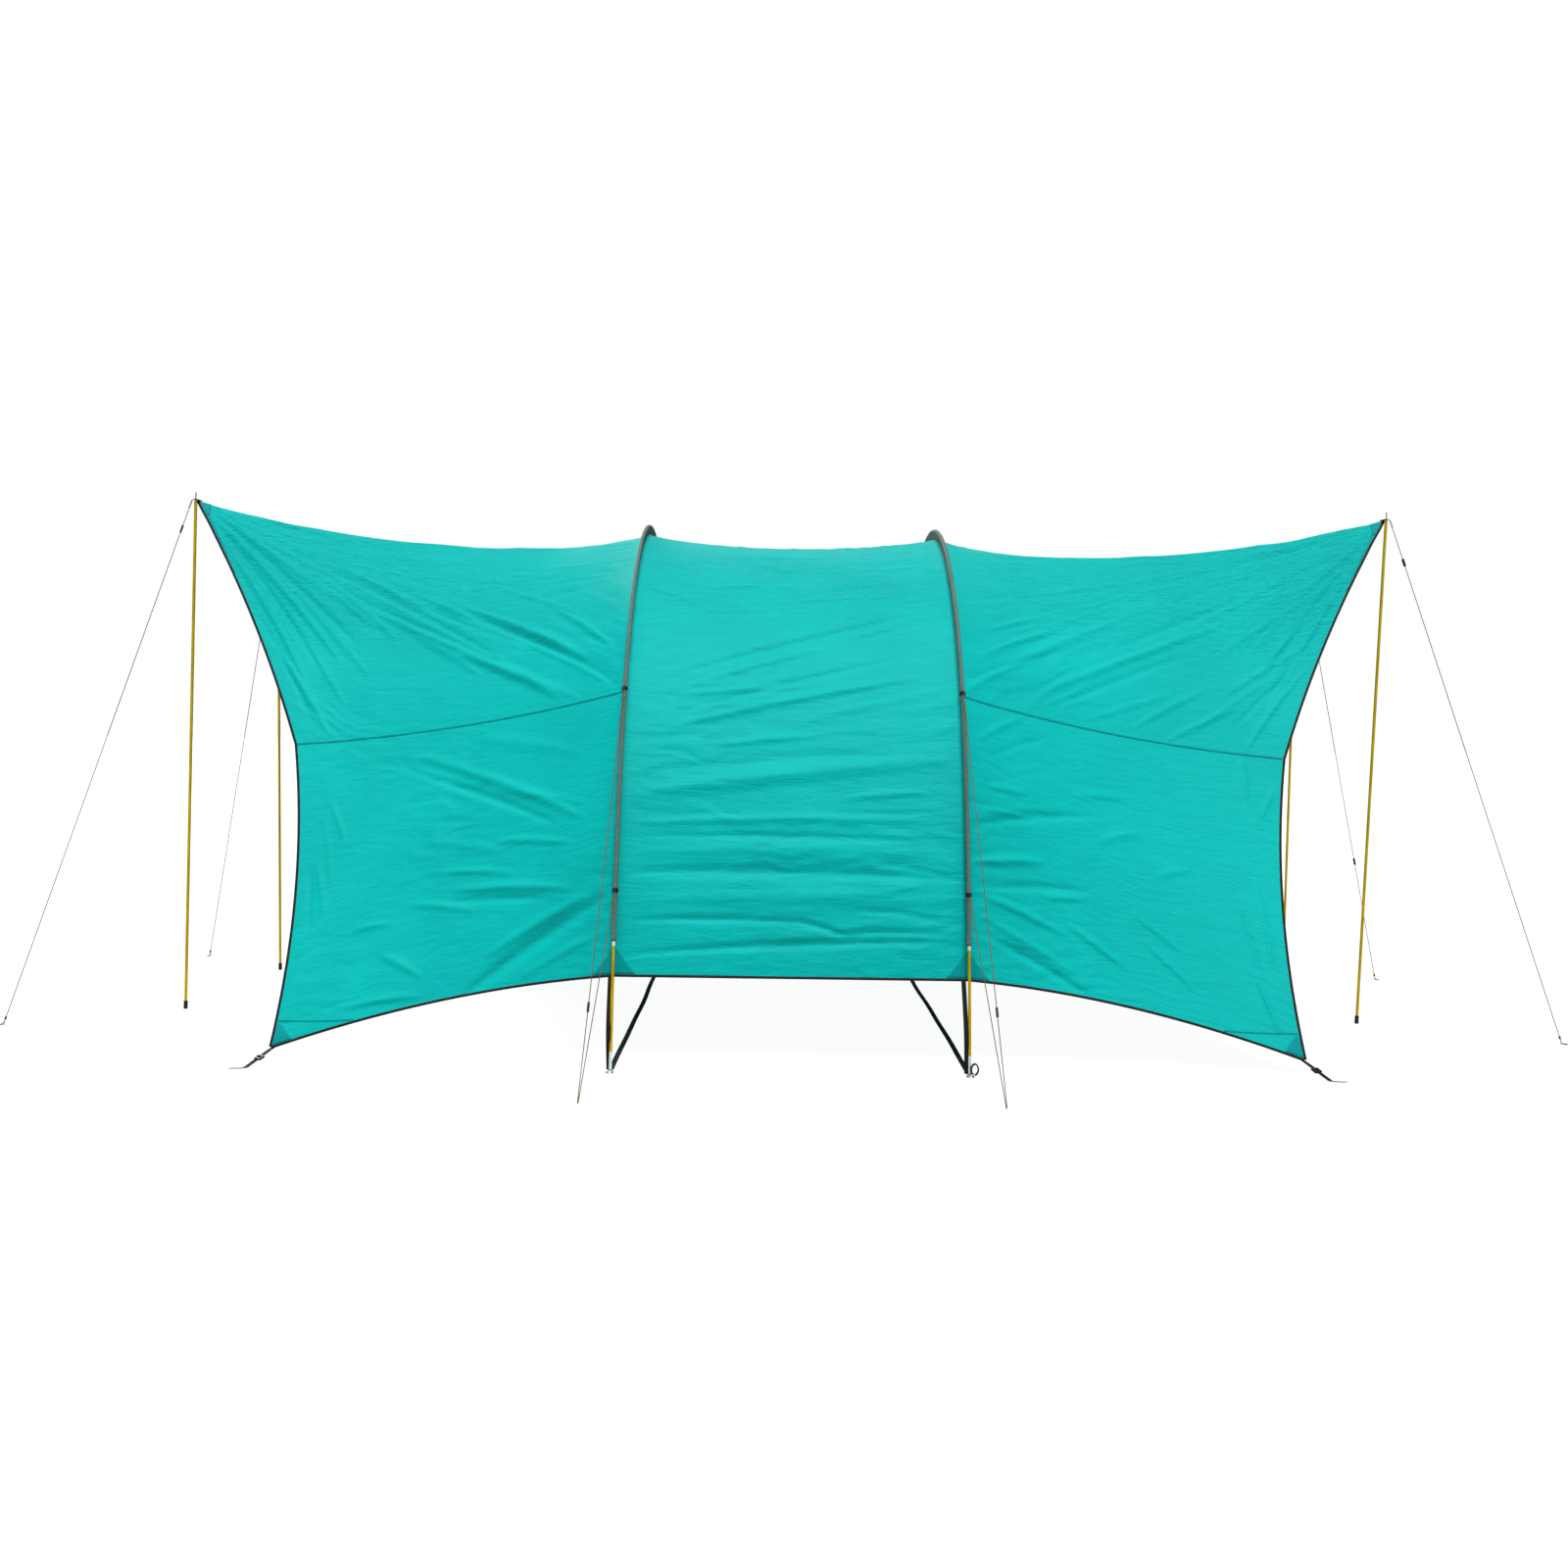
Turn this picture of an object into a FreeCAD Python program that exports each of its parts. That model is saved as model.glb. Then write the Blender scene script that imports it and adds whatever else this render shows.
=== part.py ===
"""Tunnel tarp shelter: a canopy sewn to two arched poles, with a wing at each end on upright poles.

Units are millimetres. The origin is the middle of the footprint on the ground. +X runs along the
tunnel through both arches, +Y from the near side wall to the far one, and +Z points up.
Left is -X, right is +X, near is -Y and far is +Y.
"""
import FreeCAD, Part
import math
import os
from FreeCAD import Vector

os.makedirs("parts", exist_ok=True)

# arched poles
SECTION_LENGTH = 450.0        # one pole section
ARCH_SECTIONS = 13
ARCH_LENGTH = SECTION_LENGTH * ARCH_SECTIONS
FOOT_SLOPE = math.radians(81.8)   # slope of a bent arch at the ground
ARCH_X = 627.0                # each arch stands this far from the middle
ARCH_RADIUS = 5.5
ARCH_BORE = 4.7
FERRULE_LENGTH = 80.0
FERRULE_BORE = 3.6
SHOCK_CORD_RADIUS = 1.5
TIP_START = 8.0               # the metal tip of an arch, measured along the pole
TIP_LENGTH = 60.0
TIP_PLUG = 30.0               # how far it goes into the pole
TIP_RADIUS = 5.0
COLLAR_LENGTH = 15.0
COLLAR_RADIUS = 6.5

# canopy
FABRIC = 2.0                  # modelled thickness of the cloth
FABRIC_DROP = 35.0            # cloth lies this far inside the arch's centreline
HEM_START = 336.0             # length along the arch from its foot to the hem
LOWER_CORNER = Vector(1832, -1534, 54)
SEAM_CORNER = Vector(1909, -1007, 1117)
TOP_CORNER = Vector(2476, -510, 2119)
SEAM_T = 0.42                 # where the wall seam runs, from 0 at the hem to 1 at the ridge
TOP_T = 0.824                 # where the upright pole's corner is, on the same scale
WALL_BOW = 45.0               # how far the free edge curves in below the seam
SLOPE_BOW = 32.0              # and above it
END_BOW = 160.0               # how far the end edge curves in between its two poles
END_SAG = 112.0
HEM_RISE = 44.0
WALL_SAG = 55.0
ROOF_SAG = 99.0
CENTRE_SAG = 50.0
BINDING_WIDTH = 9.0
BINDING_PROUD = 1.0
PATCH_THICKNESS = 1.2
CENTRE_PATCH_LIFT = 0.6       # how far patches stand off the cloth, which is more where it curves more
WING_PATCH_LIFT = 1.4
POLE_PATCH_LIFT = 2.4

# sleeves
SLEEVE_RADIUS = 9.0
SLEEVE_BORE = 7.6
SLEEVE_WEB = 2.0
SLEEVE_START = 453.0

# upright poles
POLE_SECTIONS = 5
POLE_RADIUS = 6.0
POLE_BORE = 5.1
FOOT_RADIUS = 8.5
FOOT_HEIGHT = 34.0
NEAR_LEAN = -52.0             # both near feet stand this far towards -X of their tops
NEAR_INWARD = 16.0            # and this far inwards
FAR_INWARD = 20.0             # both far feet stand this far inwards of their tops
SPIKE_RADIUS = 3.0
SPIKE_TIP_RADIUS = 2.5
SPIKE_TIP_LENGTH = 26.0
SHOULDER_GAP = 4.0            # room under the eyelet for the pole to tilt
TAB_RADIUS = 12.5
TAB_OFFSET = Vector(0.0, -23.0, -1.0)     # from the cloth's top corner to its eyelet
EYELET_RADIUS = 9.0
EYELET_BORE = 4.4
EYELET_HEIGHT = 4.0
TAB_THICKNESS = 2.4

# straps
WEBBING = 20.0
STRAP_THICKNESS = 1.6
CORNER_PEG = Vector(1882, -1628, 0)
CORNER_TAB_LENGTH = 42.0
HEM_STRAP_ASIDE = 12.0        # hem straps meet the hem this far towards -X of their poles
BUCKLE_LENGTH = 24.0
BUCKLE_WIDTH = 29.0
BUCKLE_HEIGHT = 8.0
BUCKLE_SLOT_HEIGHT = 3.2

# guy lines
CORD_RADIUS = 1.5
WING_PEGS = {"near_left": Vector(-3075, -923, 2.4), "near_right": Vector(3075, -923, 2.4),
             "far_left": Vector(-2950, 950, 2.4), "far_right": Vector(2965, 660, 2.4)}
ARCH_PEG = Vector(679, -2121, 3.0)
ARCH_PEG_GAP = 13.0           # the cord turns round a peg this wide
UPPER_TAB_HEIGHT = 1342.0
LOWER_TAB_HEIGHT = 621.0
GUY_LOOP_LENGTH = 38.0
SLIDER_LENGTH = 32.0
SLIDER_WIDTH = 11.0
SLIDER_HEIGHT = 7.0
SLIDER_CLEARANCE = 0.5
ARCH_SLIDER_DROP = 1275.0     # along the upper leg of an arch guy, from its tab
WING_SLIDER_DROP = {"near_left": 130.0, "near_right": 190.0, "far_left": 190.0, "far_right": 1560.0}

# foot fittings
PIN_RADIUS = 2.4
RING_RADIUS = 13.0
RING_WIRE = 2.0

QUARTERS = ("near_left", "near_right", "far_left", "far_right")


def write(node, solids):
    """Write one node, which is a list of separate solids."""
    for solid in solids:
        if not solid.isValid() or solid.Volume <= 0:
            print("bad solid in", node, solid.isValid(), solid.Volume)
    shape = solids[0] if len(solids) == 1 else Part.makeCompound(solids)
    shape.exportStep("parts/%s.step" % node)


def to_quarter(shape, quarter):
    """Mirror a near right shape to another quarter."""
    if "left" in quarter:
        shape = shape.mirror(Vector(0, 0, 0), Vector(1, 0, 0))
    if "far" in quarter:
        shape = shape.mirror(Vector(0, 0, 0), Vector(0, 1, 0))
    return shape


def four(shape):
    return [to_quarter(shape, quarter) for quarter in QUARTERS]


def point_to_quarter(point, quarter):
    return Vector(-point.x if "left" in quarter else point.x, -point.y if "far" in quarter else point.y, point.z)


# the arch: a bent pole's slope falls off as a cosine, and each section is one arc

def arch_slope(section):
    return FOOT_SLOPE * math.cos(math.pi * section / ARCH_SECTIONS)


def chord(start, slope_a, slope_b, length):
    """End of an arc in the YZ plane that turns from one slope to another."""
    half = (slope_a - slope_b) / 2
    reach = length * (math.sin(half) / half if abs(half) > 1e-9 else 1.0)
    mean = (slope_a + slope_b) / 2
    return start[0] + reach * math.cos(mean), start[1] + reach * math.sin(mean)


def arch_joints():
    joints = [(0.0, 0.0)]
    for section in range(ARCH_SECTIONS):
        joints.append(chord(joints[-1], arch_slope(section), arch_slope(section + 1), SECTION_LENGTH))
    half_span = joints[-1][0] / 2
    return [(y - half_span, z) for y, z in joints]


ARCH_JOINTS = arch_joints()
ARCH_HALF_SPAN = ARCH_JOINTS[-1][0]


def arch_at(length):
    """Position in the YZ plane and slope at a length along the arch from its near foot."""
    section = min(int(length // SECTION_LENGTH), ARCH_SECTIONS - 1)
    part = length / SECTION_LENGTH - section
    slope_a = arch_slope(section)
    slope = slope_a + (arch_slope(section + 1) - slope_a) * part
    y, z = chord(ARCH_JOINTS[section], slope_a, slope, part * SECTION_LENGTH)
    return y, z, slope


def arch_length_at(height):
    """Length along the near side of the arch at a height."""
    low, high = 0.0, ARCH_LENGTH / 2
    for _ in range(40):
        middle = (low + high) / 2
        low, high = (middle, high) if arch_at(middle)[1] < height else (low, middle)
    return low


def along_arch(profile, start, end):
    """Sweep a profile, drawn by profile(position, tangent, inward), along the right arch."""
    solids = []
    for section in range(ARCH_SECTIONS):
        a = max(start, section * SECTION_LENGTH)
        b = min(end, (section + 1) * SECTION_LENGTH)
        if b - a < 0.5:
            continue
        y, z, slope = arch_at(a)
        turn = (arch_slope(section) - arch_slope(section + 1)) * (b - a) / SECTION_LENGTH
        tangent = Vector(0, math.cos(slope), math.sin(slope))
        inward = Vector(0, math.sin(slope), -math.cos(slope))
        position = Vector(ARCH_X, y, z)
        centre = position + inward * ((b - a) / turn)
        solids.append(profile(position, tangent, inward).revolve(centre, Vector(-1, 0, 0), math.degrees(turn)))
    return solids


def disc(position, normal, radius):
    return Part.Face(Part.Wire(Part.makeCircle(radius, position, normal)))


def pipe_profile(outer, inner=0.0):
    def profile(position, tangent, inward):
        face = disc(position, tangent, outer)
        return face.cut(disc(position, tangent, inner)) if inner else face
    return profile


def joined(solids):
    shape = solids[0]
    if len(solids) > 1:
        shape = shape.multiFuse(solids[1:]).removeSplitter()
    return shape.Solids


def arch_poles():
    sections = []
    for section in range(ARCH_SECTIONS):
        start = section * SECTION_LENGTH
        end = start + SECTION_LENGTH
        start = max(start, TIP_START + TIP_LENGTH)
        end = min(end, ARCH_LENGTH - TIP_START - TIP_LENGTH)
        sections += along_arch(pipe_profile(ARCH_RADIUS, ARCH_BORE), start, end)
    return sections


def arch_ferrules():
    pieces = []
    for section in range(1, ARCH_SECTIONS):
        middle = section * SECTION_LENGTH
        pipe = pipe_profile(ARCH_BORE, FERRULE_BORE)
        pieces += joined(along_arch(pipe, middle - FERRULE_LENGTH / 2, middle + FERRULE_LENGTH / 2))
    for start in (SECTION_LENGTH - COLLAR_LENGTH, ARCH_LENGTH - SECTION_LENGTH):
        pieces += along_arch(pipe_profile(COLLAR_RADIUS, ARCH_RADIUS), start, start + COLLAR_LENGTH)
    return pieces


def arch_shock_cord():
    clear = TIP_START + TIP_LENGTH + TIP_PLUG + 2
    return joined(along_arch(pipe_profile(SHOCK_CORD_RADIUS), clear, ARCH_LENGTH - clear))


def sleeve_profile(position, tangent, inward):
    side = Vector(1, 0, 0)
    tube = disc(position, tangent, SLEEVE_RADIUS)
    corners = [position + inward * depth + side * x for depth, x in (
        (SLEEVE_BORE + 0.5, -SLEEVE_WEB / 2), (SLEEVE_BORE + 0.5, SLEEVE_WEB / 2),
        (FABRIC_DROP - 0.4, SLEEVE_WEB / 2), (FABRIC_DROP - 0.4, -SLEEVE_WEB / 2))]
    web = Part.Face(Part.makePolygon(corners + corners[:1]))
    return tube.fuse(web).removeSplitter().Faces[0].cut(disc(position, tangent, SLEEVE_BORE))


def arch_sleeve():
    return joined(along_arch(sleeve_profile, SLEEVE_START, ARCH_LENGTH - SLEEVE_START))


# canopy cloth: across runs from 0 at the arch to 1 at the free edge, and t from 0 at the near hem
# through 1 at the ridge to 2 at the far hem

def blend(a, b, part):
    return a + (b - a) * part


def bow(part):
    return 4 * part * (1 - part)


def free_edge(t):
    if t <= SEAM_T:
        part = t / SEAM_T
        return blend(LOWER_CORNER, SEAM_CORNER, part) - Vector(WALL_BOW * bow(part), 0, 0)
    if t <= TOP_T:
        part = (t - SEAM_T) / (TOP_T - SEAM_T)
        return blend(SEAM_CORNER, TOP_CORNER, part) - Vector(SLOPE_BOW * bow(part), 0, 0)
    part = (t - TOP_T) / (1 - TOP_T)
    pull = 1 - (1 - part) ** 2
    return TOP_CORNER + Vector(-END_BOW * pull, -TOP_CORNER.y * part, -END_SAG * pull)


def arch_fabric(t):
    """Point of the cloth below the arch and its inward direction, on the near side."""
    y, z, slope = arch_at(blend(HEM_START, ARCH_LENGTH / 2, t))
    inward = Vector(0, math.sin(slope), -math.cos(slope))
    return Vector(ARCH_X, y, z) + inward * FABRIC_DROP, inward


def wing_point(across, t, inset):
    near_t = t if t <= 1 else 2 - t
    base, inward = arch_fabric(near_t)
    sag = blend(WALL_SAG, ROOF_SAG, near_t) * bow(across) + inset
    point = blend(base, free_edge(near_t), across) + inward * sag
    point.z += HEM_RISE * bow(across) * (1 - near_t) ** 3
    return point if t <= 1 else Vector(point.x, -point.y, point.z)


def centre_point(across, t, inset):
    """across runs from -1 at the left arch to 1 at the right one."""
    near_t = t if t <= 1 else 2 - t
    base, inward = arch_fabric(near_t)
    point = Vector(ARCH_X * across, base.y, base.z) + inward * (CENTRE_SAG * near_t * (1 - across ** 2) + inset)
    return point if t <= 1 else Vector(point.x, -point.y, point.z)


def spread(start, end, count):
    return [blend(start, end, i / (count - 1)) for i in range(count)]


def smooth_face(grid):
    """Face whose control points are the grid, cubic where there are enough of them."""
    def knots(count):
        degree = min(3, count - 1)
        inner = count - degree - 1
        return [degree + 1] + [1] * inner + [degree + 1], [float(k) for k in range(inner + 2)], degree
    u_mults, u_knots, u_degree = knots(len(grid))
    v_mults, v_knots, v_degree = knots(len(grid[0]))
    surface = Part.BSplineSurface()
    surface.buildFromPolesMultsKnots(grid, u_mults, v_mults, u_knots, v_knots, False, False, u_degree, v_degree)
    return surface.toShape()


def cloth(place, rows, patches, outside=0.0, inside=FABRIC):
    """Thin closed solid over place(row, column, inset).

    patches is a list of column lists, and each one starts where the last one ended.
    """
    faces = []
    for number, columns in enumerate(patches):
        outer = [[place(r, c, outside) for c in columns] for r in rows]
        inner = [[place(r, c, inside) for c in columns] for r in rows]
        faces += [smooth_face(outer), smooth_face(inner)]
        faces += [smooth_face([outer[0], inner[0]]), smooth_face([outer[-1], inner[-1]])]
        if number == 0:
            faces.append(smooth_face([[row[0] for row in outer], [row[0] for row in inner]]))
        if number == len(patches) - 1:
            faces.append(smooth_face([[row[-1] for row in outer], [row[-1] for row in inner]]))
    shell = Part.makeCompound(faces)
    shell.sewShape(0.001)
    solid = Part.makeSolid(shell.Shells[0])
    if solid.Volume < 0:
        solid.reverse()
    return solid


ACROSS = spread(0.0, 1.0, 9)
WALL_T = spread(0.0, SEAM_T, 8)
SLOPE_T = spread(SEAM_T, TOP_T, 8)
END_T = spread(TOP_T, 2 - TOP_T, 9)


def beyond_ridge(columns):
    return [2 - t for t in reversed(columns)]


def wing_wall():
    return cloth(wing_point, ACROSS, [WALL_T])


def wing_roof():
    return cloth(wing_point, ACROSS, [SLOPE_T, END_T, beyond_ridge(SLOPE_T)])


def centre_panel():
    return cloth(centre_point, spread(-1.0, 1.0, 9), [spread(0.0, 2.0, 31)])


def edge_binding():
    """Tape along one whole free edge, from the near ground corner to the far one."""
    def tape_point(width, t, inset):
        edge = wing_point(1, t, 0)
        return wing_point(1 + width / (edge - wing_point(0, t, 0)).Length, t, inset)

    columns = [WALL_T, SLOPE_T, END_T, beyond_ridge(SLOPE_T), beyond_ridge(WALL_T)]
    return cloth(tape_point, [0.0, BINDING_WIDTH], columns, -BINDING_PROUD, FABRIC + BINDING_PROUD)


def hem_binding():
    """Tape along the near hem, from the left free edge to the right one."""
    def tape_point(drop, along, inset):
        if abs(along) <= 1:
            return centre_point(along, 0, inset) - Vector(0, 0, drop)
        point = wing_point(abs(along) - 1, 0, inset) - Vector(0, 0, drop)
        return Vector(math.copysign(point.x, along), point.y, point.z)

    columns = [spread(-2.0, -1.0, 9), spread(-1.0, 1.0, 3), spread(1.0, 2.0, 9)]
    return cloth(tape_point, [0.0, BINDING_WIDTH], columns, -BINDING_PROUD, FABRIC + BINDING_PROUD)


def patch(corners, place, lift):
    """Reinforcing patch sewn on the outside, between four (across, t) corners."""
    def patch_point(u, v, inset):
        across = blend(blend(corners[0][0], corners[1][0], u), blend(corners[3][0], corners[2][0], u), v)
        t = blend(blend(corners[0][1], corners[1][1], u), blend(corners[3][1], corners[2][1], u), v)
        return place(across, t, inset)
    return cloth(patch_point, spread(0.0, 1.0, 4), [spread(0.0, 1.0, 4)], -lift - PATCH_THICKNESS, -lift)


def hem_patches():
    """The halves of each arch patch: one on the wing and one on the centre panel."""
    wing_corners = [(0.002, 0.002), (0.065, 0.002), (0.004, 0.036), (0.002, 0.036)]
    centre_corners = [(0.998, 0.002), (0.88, 0.002), (0.994, 0.036), (0.998, 0.036)]
    wing_side = patch(wing_corners, wing_point, WING_PATCH_LIFT)
    centre_side = patch(centre_corners, centre_point, CENTRE_PATCH_LIFT)
    return four(wing_side) + four(centre_side)


def ground_corner_patches():
    corners = [(0.93, 0.002), (0.998, 0.002), (0.998, 0.034), (0.985, 0.034)]
    return four(patch(corners, wing_point, WING_PATCH_LIFT))


def pole_corner_patches():
    corners = [(0.955, TOP_T - 0.002), (0.998, TOP_T - 0.002), (0.998, TOP_T - 0.035), (0.985, TOP_T - 0.035)]
    return four(patch(corners, wing_point, POLE_PATCH_LIFT))


# straight pieces

def bar(start, end, width, thickness, flat):
    """Flat strip from start to end, whose thickness is along flat as nearly as it can be."""
    along = (end - start).normalize()
    side = flat.cross(along).normalize() * (width / 2)
    up = along.cross(side).normalize() * (thickness / 2)
    corners = [start + side + up, start - side + up, start - side - up, start + side - up]
    face = Part.Face(Part.makePolygon(corners + corners[:1]))
    return face.extrude(end - start)


def rod(start, end, radius, bore=0.0):
    length = (end - start).Length
    solid = Part.makeCylinder(radius, length, start, end - start)
    return solid.cut(Part.makeCylinder(bore, length, start, end - start)) if bore else solid


# foot fittings under each arch

def foot_point(height):
    y, z, slope = arch_at(height)
    return Vector(ARCH_X, y, z)


def arch_tip():
    start, end = foot_point(TIP_START), foot_point(TIP_START + TIP_LENGTH)
    tip = rod(start, end, TIP_RADIUS)
    plug = rod(end, foot_point(TIP_START + TIP_LENGTH + TIP_PLUG), ARCH_BORE - 0.3)
    bore = rod(start, foot_point(TIP_START + 28), PIN_RADIUS + 0.3)
    return tip.fuse(plug).cut(bore)


def foot_pin():
    """Upright pin on a flat steel lug that lies on the ground."""
    lug = Part.makeBox(16, 12, 3, Vector(ARCH_X - 8, -ARCH_HALF_SPAN - 6, 0))
    pin = rod(foot_point(1.5), foot_point(TIP_START + 24), PIN_RADIUS)
    return lug.fuse(pin)


def foot_ring():
    centre = Vector(ARCH_X, -ARCH_HALF_SPAN - 6.5 - RING_RADIUS - RING_WIRE, RING_WIRE)
    return Part.makeTorus(RING_RADIUS, RING_WIRE, centre, Vector(0, 0, 1))


def ground_strap():
    inner = ARCH_HALF_SPAN - 6.5
    return Part.makeBox(WEBBING, 2 * inner, STRAP_THICKNESS, Vector(ARCH_X - WEBBING / 2, -inner, 0))


def hem_strap(quarter):
    """Strap from the hem down to the foot, just inside the pole."""
    outward = HEM_STRAP_ASIDE if "left" in quarter else -HEM_STRAP_ASIDE
    hem, inward = arch_fabric(0)
    top = hem + Vector(outward, 1.2, -BINDING_WIDTH - 3)
    bottom = Vector(ARCH_X + 0.4 * outward, -ARCH_HALF_SPAN + 18, STRAP_THICKNESS + 2.5)
    return to_quarter(bar(bottom, top, 0.75 * WEBBING, STRAP_THICKNESS, Vector(0, 1, 0)), quarter)


# corner straps, which pull the wings down to the ground

def corner_run():
    corner = LOWER_CORNER + Vector(4.0, -6.0, -11.0)
    return corner, Vector(CORNER_PEG.x, CORNER_PEG.y, 5.0)


def corner_strap():
    start, end = corner_run()
    flat = Vector(0, 0, 1)
    heading = Vector(end.x - start.x, end.y - start.y, 0).normalize()
    foot = Vector(end.x, end.y, STRAP_THICKNESS / 2)
    slope = bar(start, end, WEBBING, STRAP_THICKNESS, flat)
    tab = bar(foot - heading * 12, foot + heading * CORNER_TAB_LENGTH, WEBBING, STRAP_THICKNESS, flat)
    riser = bar(end + Vector(0, 0, 0.6), foot, WEBBING, 2 * STRAP_THICKNESS, heading)
    return slope.fuse(riser).fuse(tab)


def corner_buckle():
    """Ladder lock that slides on the corner strap: a frame with a cross bar on each side of it."""
    start, end = corner_run()
    along = (end - start).normalize()
    middle = start + (end - start) * 0.48
    a = middle - along * (BUCKLE_LENGTH / 2)
    b = middle + along * (BUCKLE_LENGTH / 2)
    body = bar(a, b, BUCKLE_WIDTH, BUCKLE_HEIGHT, Vector(0, 0, 1))
    slot = bar(a - along, b + along, WEBBING + 1.6, BUCKLE_SLOT_HEIGHT, Vector(0, 0, 1))
    window = bar(middle - along * 6, middle + along * 6, WEBBING + 1.6, BUCKLE_HEIGHT + 4, Vector(0, 0, 1))
    return body.cut(slot).cut(window)


# upright poles

def pole_head(quarter):
    """Middle of the eyelet that a pole's spike goes through."""
    return point_to_quarter(TOP_CORNER + TAB_OFFSET, quarter)


def pole_axis(quarter):
    """Top of the pole and its unit direction down to the foot."""
    head = pole_head(quarter)
    inward = 1 if "left" in quarter else -1
    if "near" in quarter:
        lean = NEAR_LEAN + NEAR_INWARD * inward
    else:
        lean = FAR_INWARD * inward
    foot = Vector(head.x + lean, head.y, 0)
    return head, (foot - head).normalize()


def pole_length(quarter):
    head, down = pole_axis(quarter)
    tilt = math.hypot(down.x, down.y)
    return (head.z - FOOT_RADIUS * tilt) / -down.z


def pole_sections(quarter):
    head, down = pole_axis(quarter)
    top = EYELET_HEIGHT / 2 + SHOULDER_GAP
    bottom = pole_length(quarter) - 6.0
    step = (bottom - top) / POLE_SECTIONS
    pieces = []
    for section in range(POLE_SECTIONS):
        start = top + section * step
        pieces.append(rod(head + down * start, head + down * (start + step), POLE_RADIUS, POLE_BORE))
        if section:
            low = head + down * (start - FERRULE_LENGTH / 2)
            pieces.append(rod(low, head + down * (start + FERRULE_LENGTH / 2), POLE_BORE, FERRULE_BORE))
    return pieces


def pole_foot(quarter):
    head, down = pole_axis(quarter)
    end = head + down * pole_length(quarter)
    cup = rod(end, end - down * FOOT_HEIGHT, FOOT_RADIUS)
    return cup.cut(rod(end - down * 6.0, end - down * (FOOT_HEIGHT + 1), POLE_RADIUS))


def pole_spike(quarter):
    head, down = pole_axis(quarter)
    shoulder = head + down * (EYELET_HEIGHT / 2 + SHOULDER_GAP)
    neck_top = head - down * (EYELET_HEIGHT / 2 + 2.5)
    plug = rod(shoulder + down * 22, shoulder, POLE_BORE)
    neck = rod(shoulder + down, neck_top, SPIKE_RADIUS)
    tip = rod(neck_top - down * SPIKE_TIP_LENGTH, neck_top, SPIKE_TIP_RADIUS)
    return plug.fuse(neck).fuse(tip)


def eyelet():
    head = pole_head("near_right")
    base = head - Vector(0, 0, EYELET_HEIGHT / 2)
    return rod(base, base + Vector(0, 0, EYELET_HEIGHT), EYELET_RADIUS, EYELET_BORE)


def corner_tab():
    head = pole_head("near_right")
    base = head - Vector(0, 0, TAB_THICKNESS / 2)
    return rod(base, base + Vector(0, 0, TAB_THICKNESS), TAB_RADIUS, EYELET_RADIUS)


# guy lines

def wing_guy_ends(quarter):
    """Where the cord starts below its webbing loop, where it meets the ground, and its direction."""
    peg = WING_PEGS[quarter]
    head = pole_head(quarter)
    aside = Vector(peg.x - head.x, peg.y - head.y, 0).normalize()
    anchor = head + aside * (TAB_RADIUS + 2.0) - Vector(0, 0, 2.0)
    return anchor, peg, (peg - anchor).normalize()


def guy_loop(quarter):
    anchor, peg, down = wing_guy_ends(quarter)
    return bar(anchor, anchor + down * GUY_LOOP_LENGTH, 9.0, 3.0, Vector(1, 1, 0))


def arch_tab_point(height):
    """Point on the outside of the sleeve at a height, and the outward direction there."""
    y, z, slope = arch_at(arch_length_at(height))
    outward = Vector(0, -math.sin(slope), math.cos(slope))
    return Vector(ARCH_X, y, z), outward, Vector(0, math.cos(slope), math.sin(slope))


def arch_tab(height):
    """Half collar sewn round the outside of the sleeve, with a ring for the cord."""
    middle, outward, tangent = arch_tab_point(height)
    start = middle - tangent * 7
    collar = rod(start, middle + tangent * 7, SLEEVE_RADIUS + 1.9, SLEEVE_RADIUS + 0.3)
    inner_half = Part.makeBox(60, 60, 60, Vector(-30, -30, -60 - 2.0))
    inner_half.Placement = FreeCAD.Placement(middle, FreeCAD.Rotation(Vector(0, 0, 1), outward))
    ring = Part.makeTorus(5.0, 1.4, middle + outward * (SLEEVE_RADIUS + 7.0), Vector(1, 0, 0))
    return collar.cut(inner_half).fuse(ring)


def arch_guy_route():
    """Upper tab, two corners round the peg, lower tab."""
    ends = []
    for height in (UPPER_TAB_HEIGHT, LOWER_TAB_HEIGHT):
        middle, outward, tangent = arch_tab_point(height)
        ends.append(middle + outward * (SLEEVE_RADIUS + 15.4))
    across = Vector(0, 0.72, -0.69) * ARCH_PEG_GAP
    ground = Vector(ARCH_PEG.x, ARCH_PEG.y, ARCH_PEG.z)
    return [ends[0], ground - Vector(0, 0, across.z), ground + Vector(0, across.y, 0), ends[1]]


def cord(points, radius):
    """Cord along straight runs joined by tangent arcs, each as large as its runs allow."""
    edges = []
    start = points[0]
    for before, corner, after in zip(points, points[1:], points[2:]):
        into = (corner - before).normalize()
        out = (after - corner).normalize()
        half_turn = into.getAngle(out) / 2
        trim = 0.45 * min((corner - before).Length, (after - corner).Length)
        bend = trim / math.tan(half_turn)
        print("cord bend radius %.1f, turn %.0f" % (bend, math.degrees(2 * half_turn)))
        a = corner - into * trim
        b = corner + out * trim
        bisector = (out - into).normalize()
        middle = corner + bisector * (bend / math.cos(half_turn) - bend)
        edges += [Part.LineSegment(start, a).toShape(), Part.Arc(a, middle, b).toShape()]
        start = b
    edges.append(Part.LineSegment(start, points[-1]).toShape())
    path = Part.Wire(edges)
    section = Part.Wire(Part.makeCircle(radius, points[0], points[1] - points[0]))
    solid = path.makePipeShell([section], True, False)
    print("cord length %.0f, volume ratio %.4f" % (path.Length, solid.Volume / (math.pi * radius ** 2 * path.Length)))
    return solid


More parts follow.
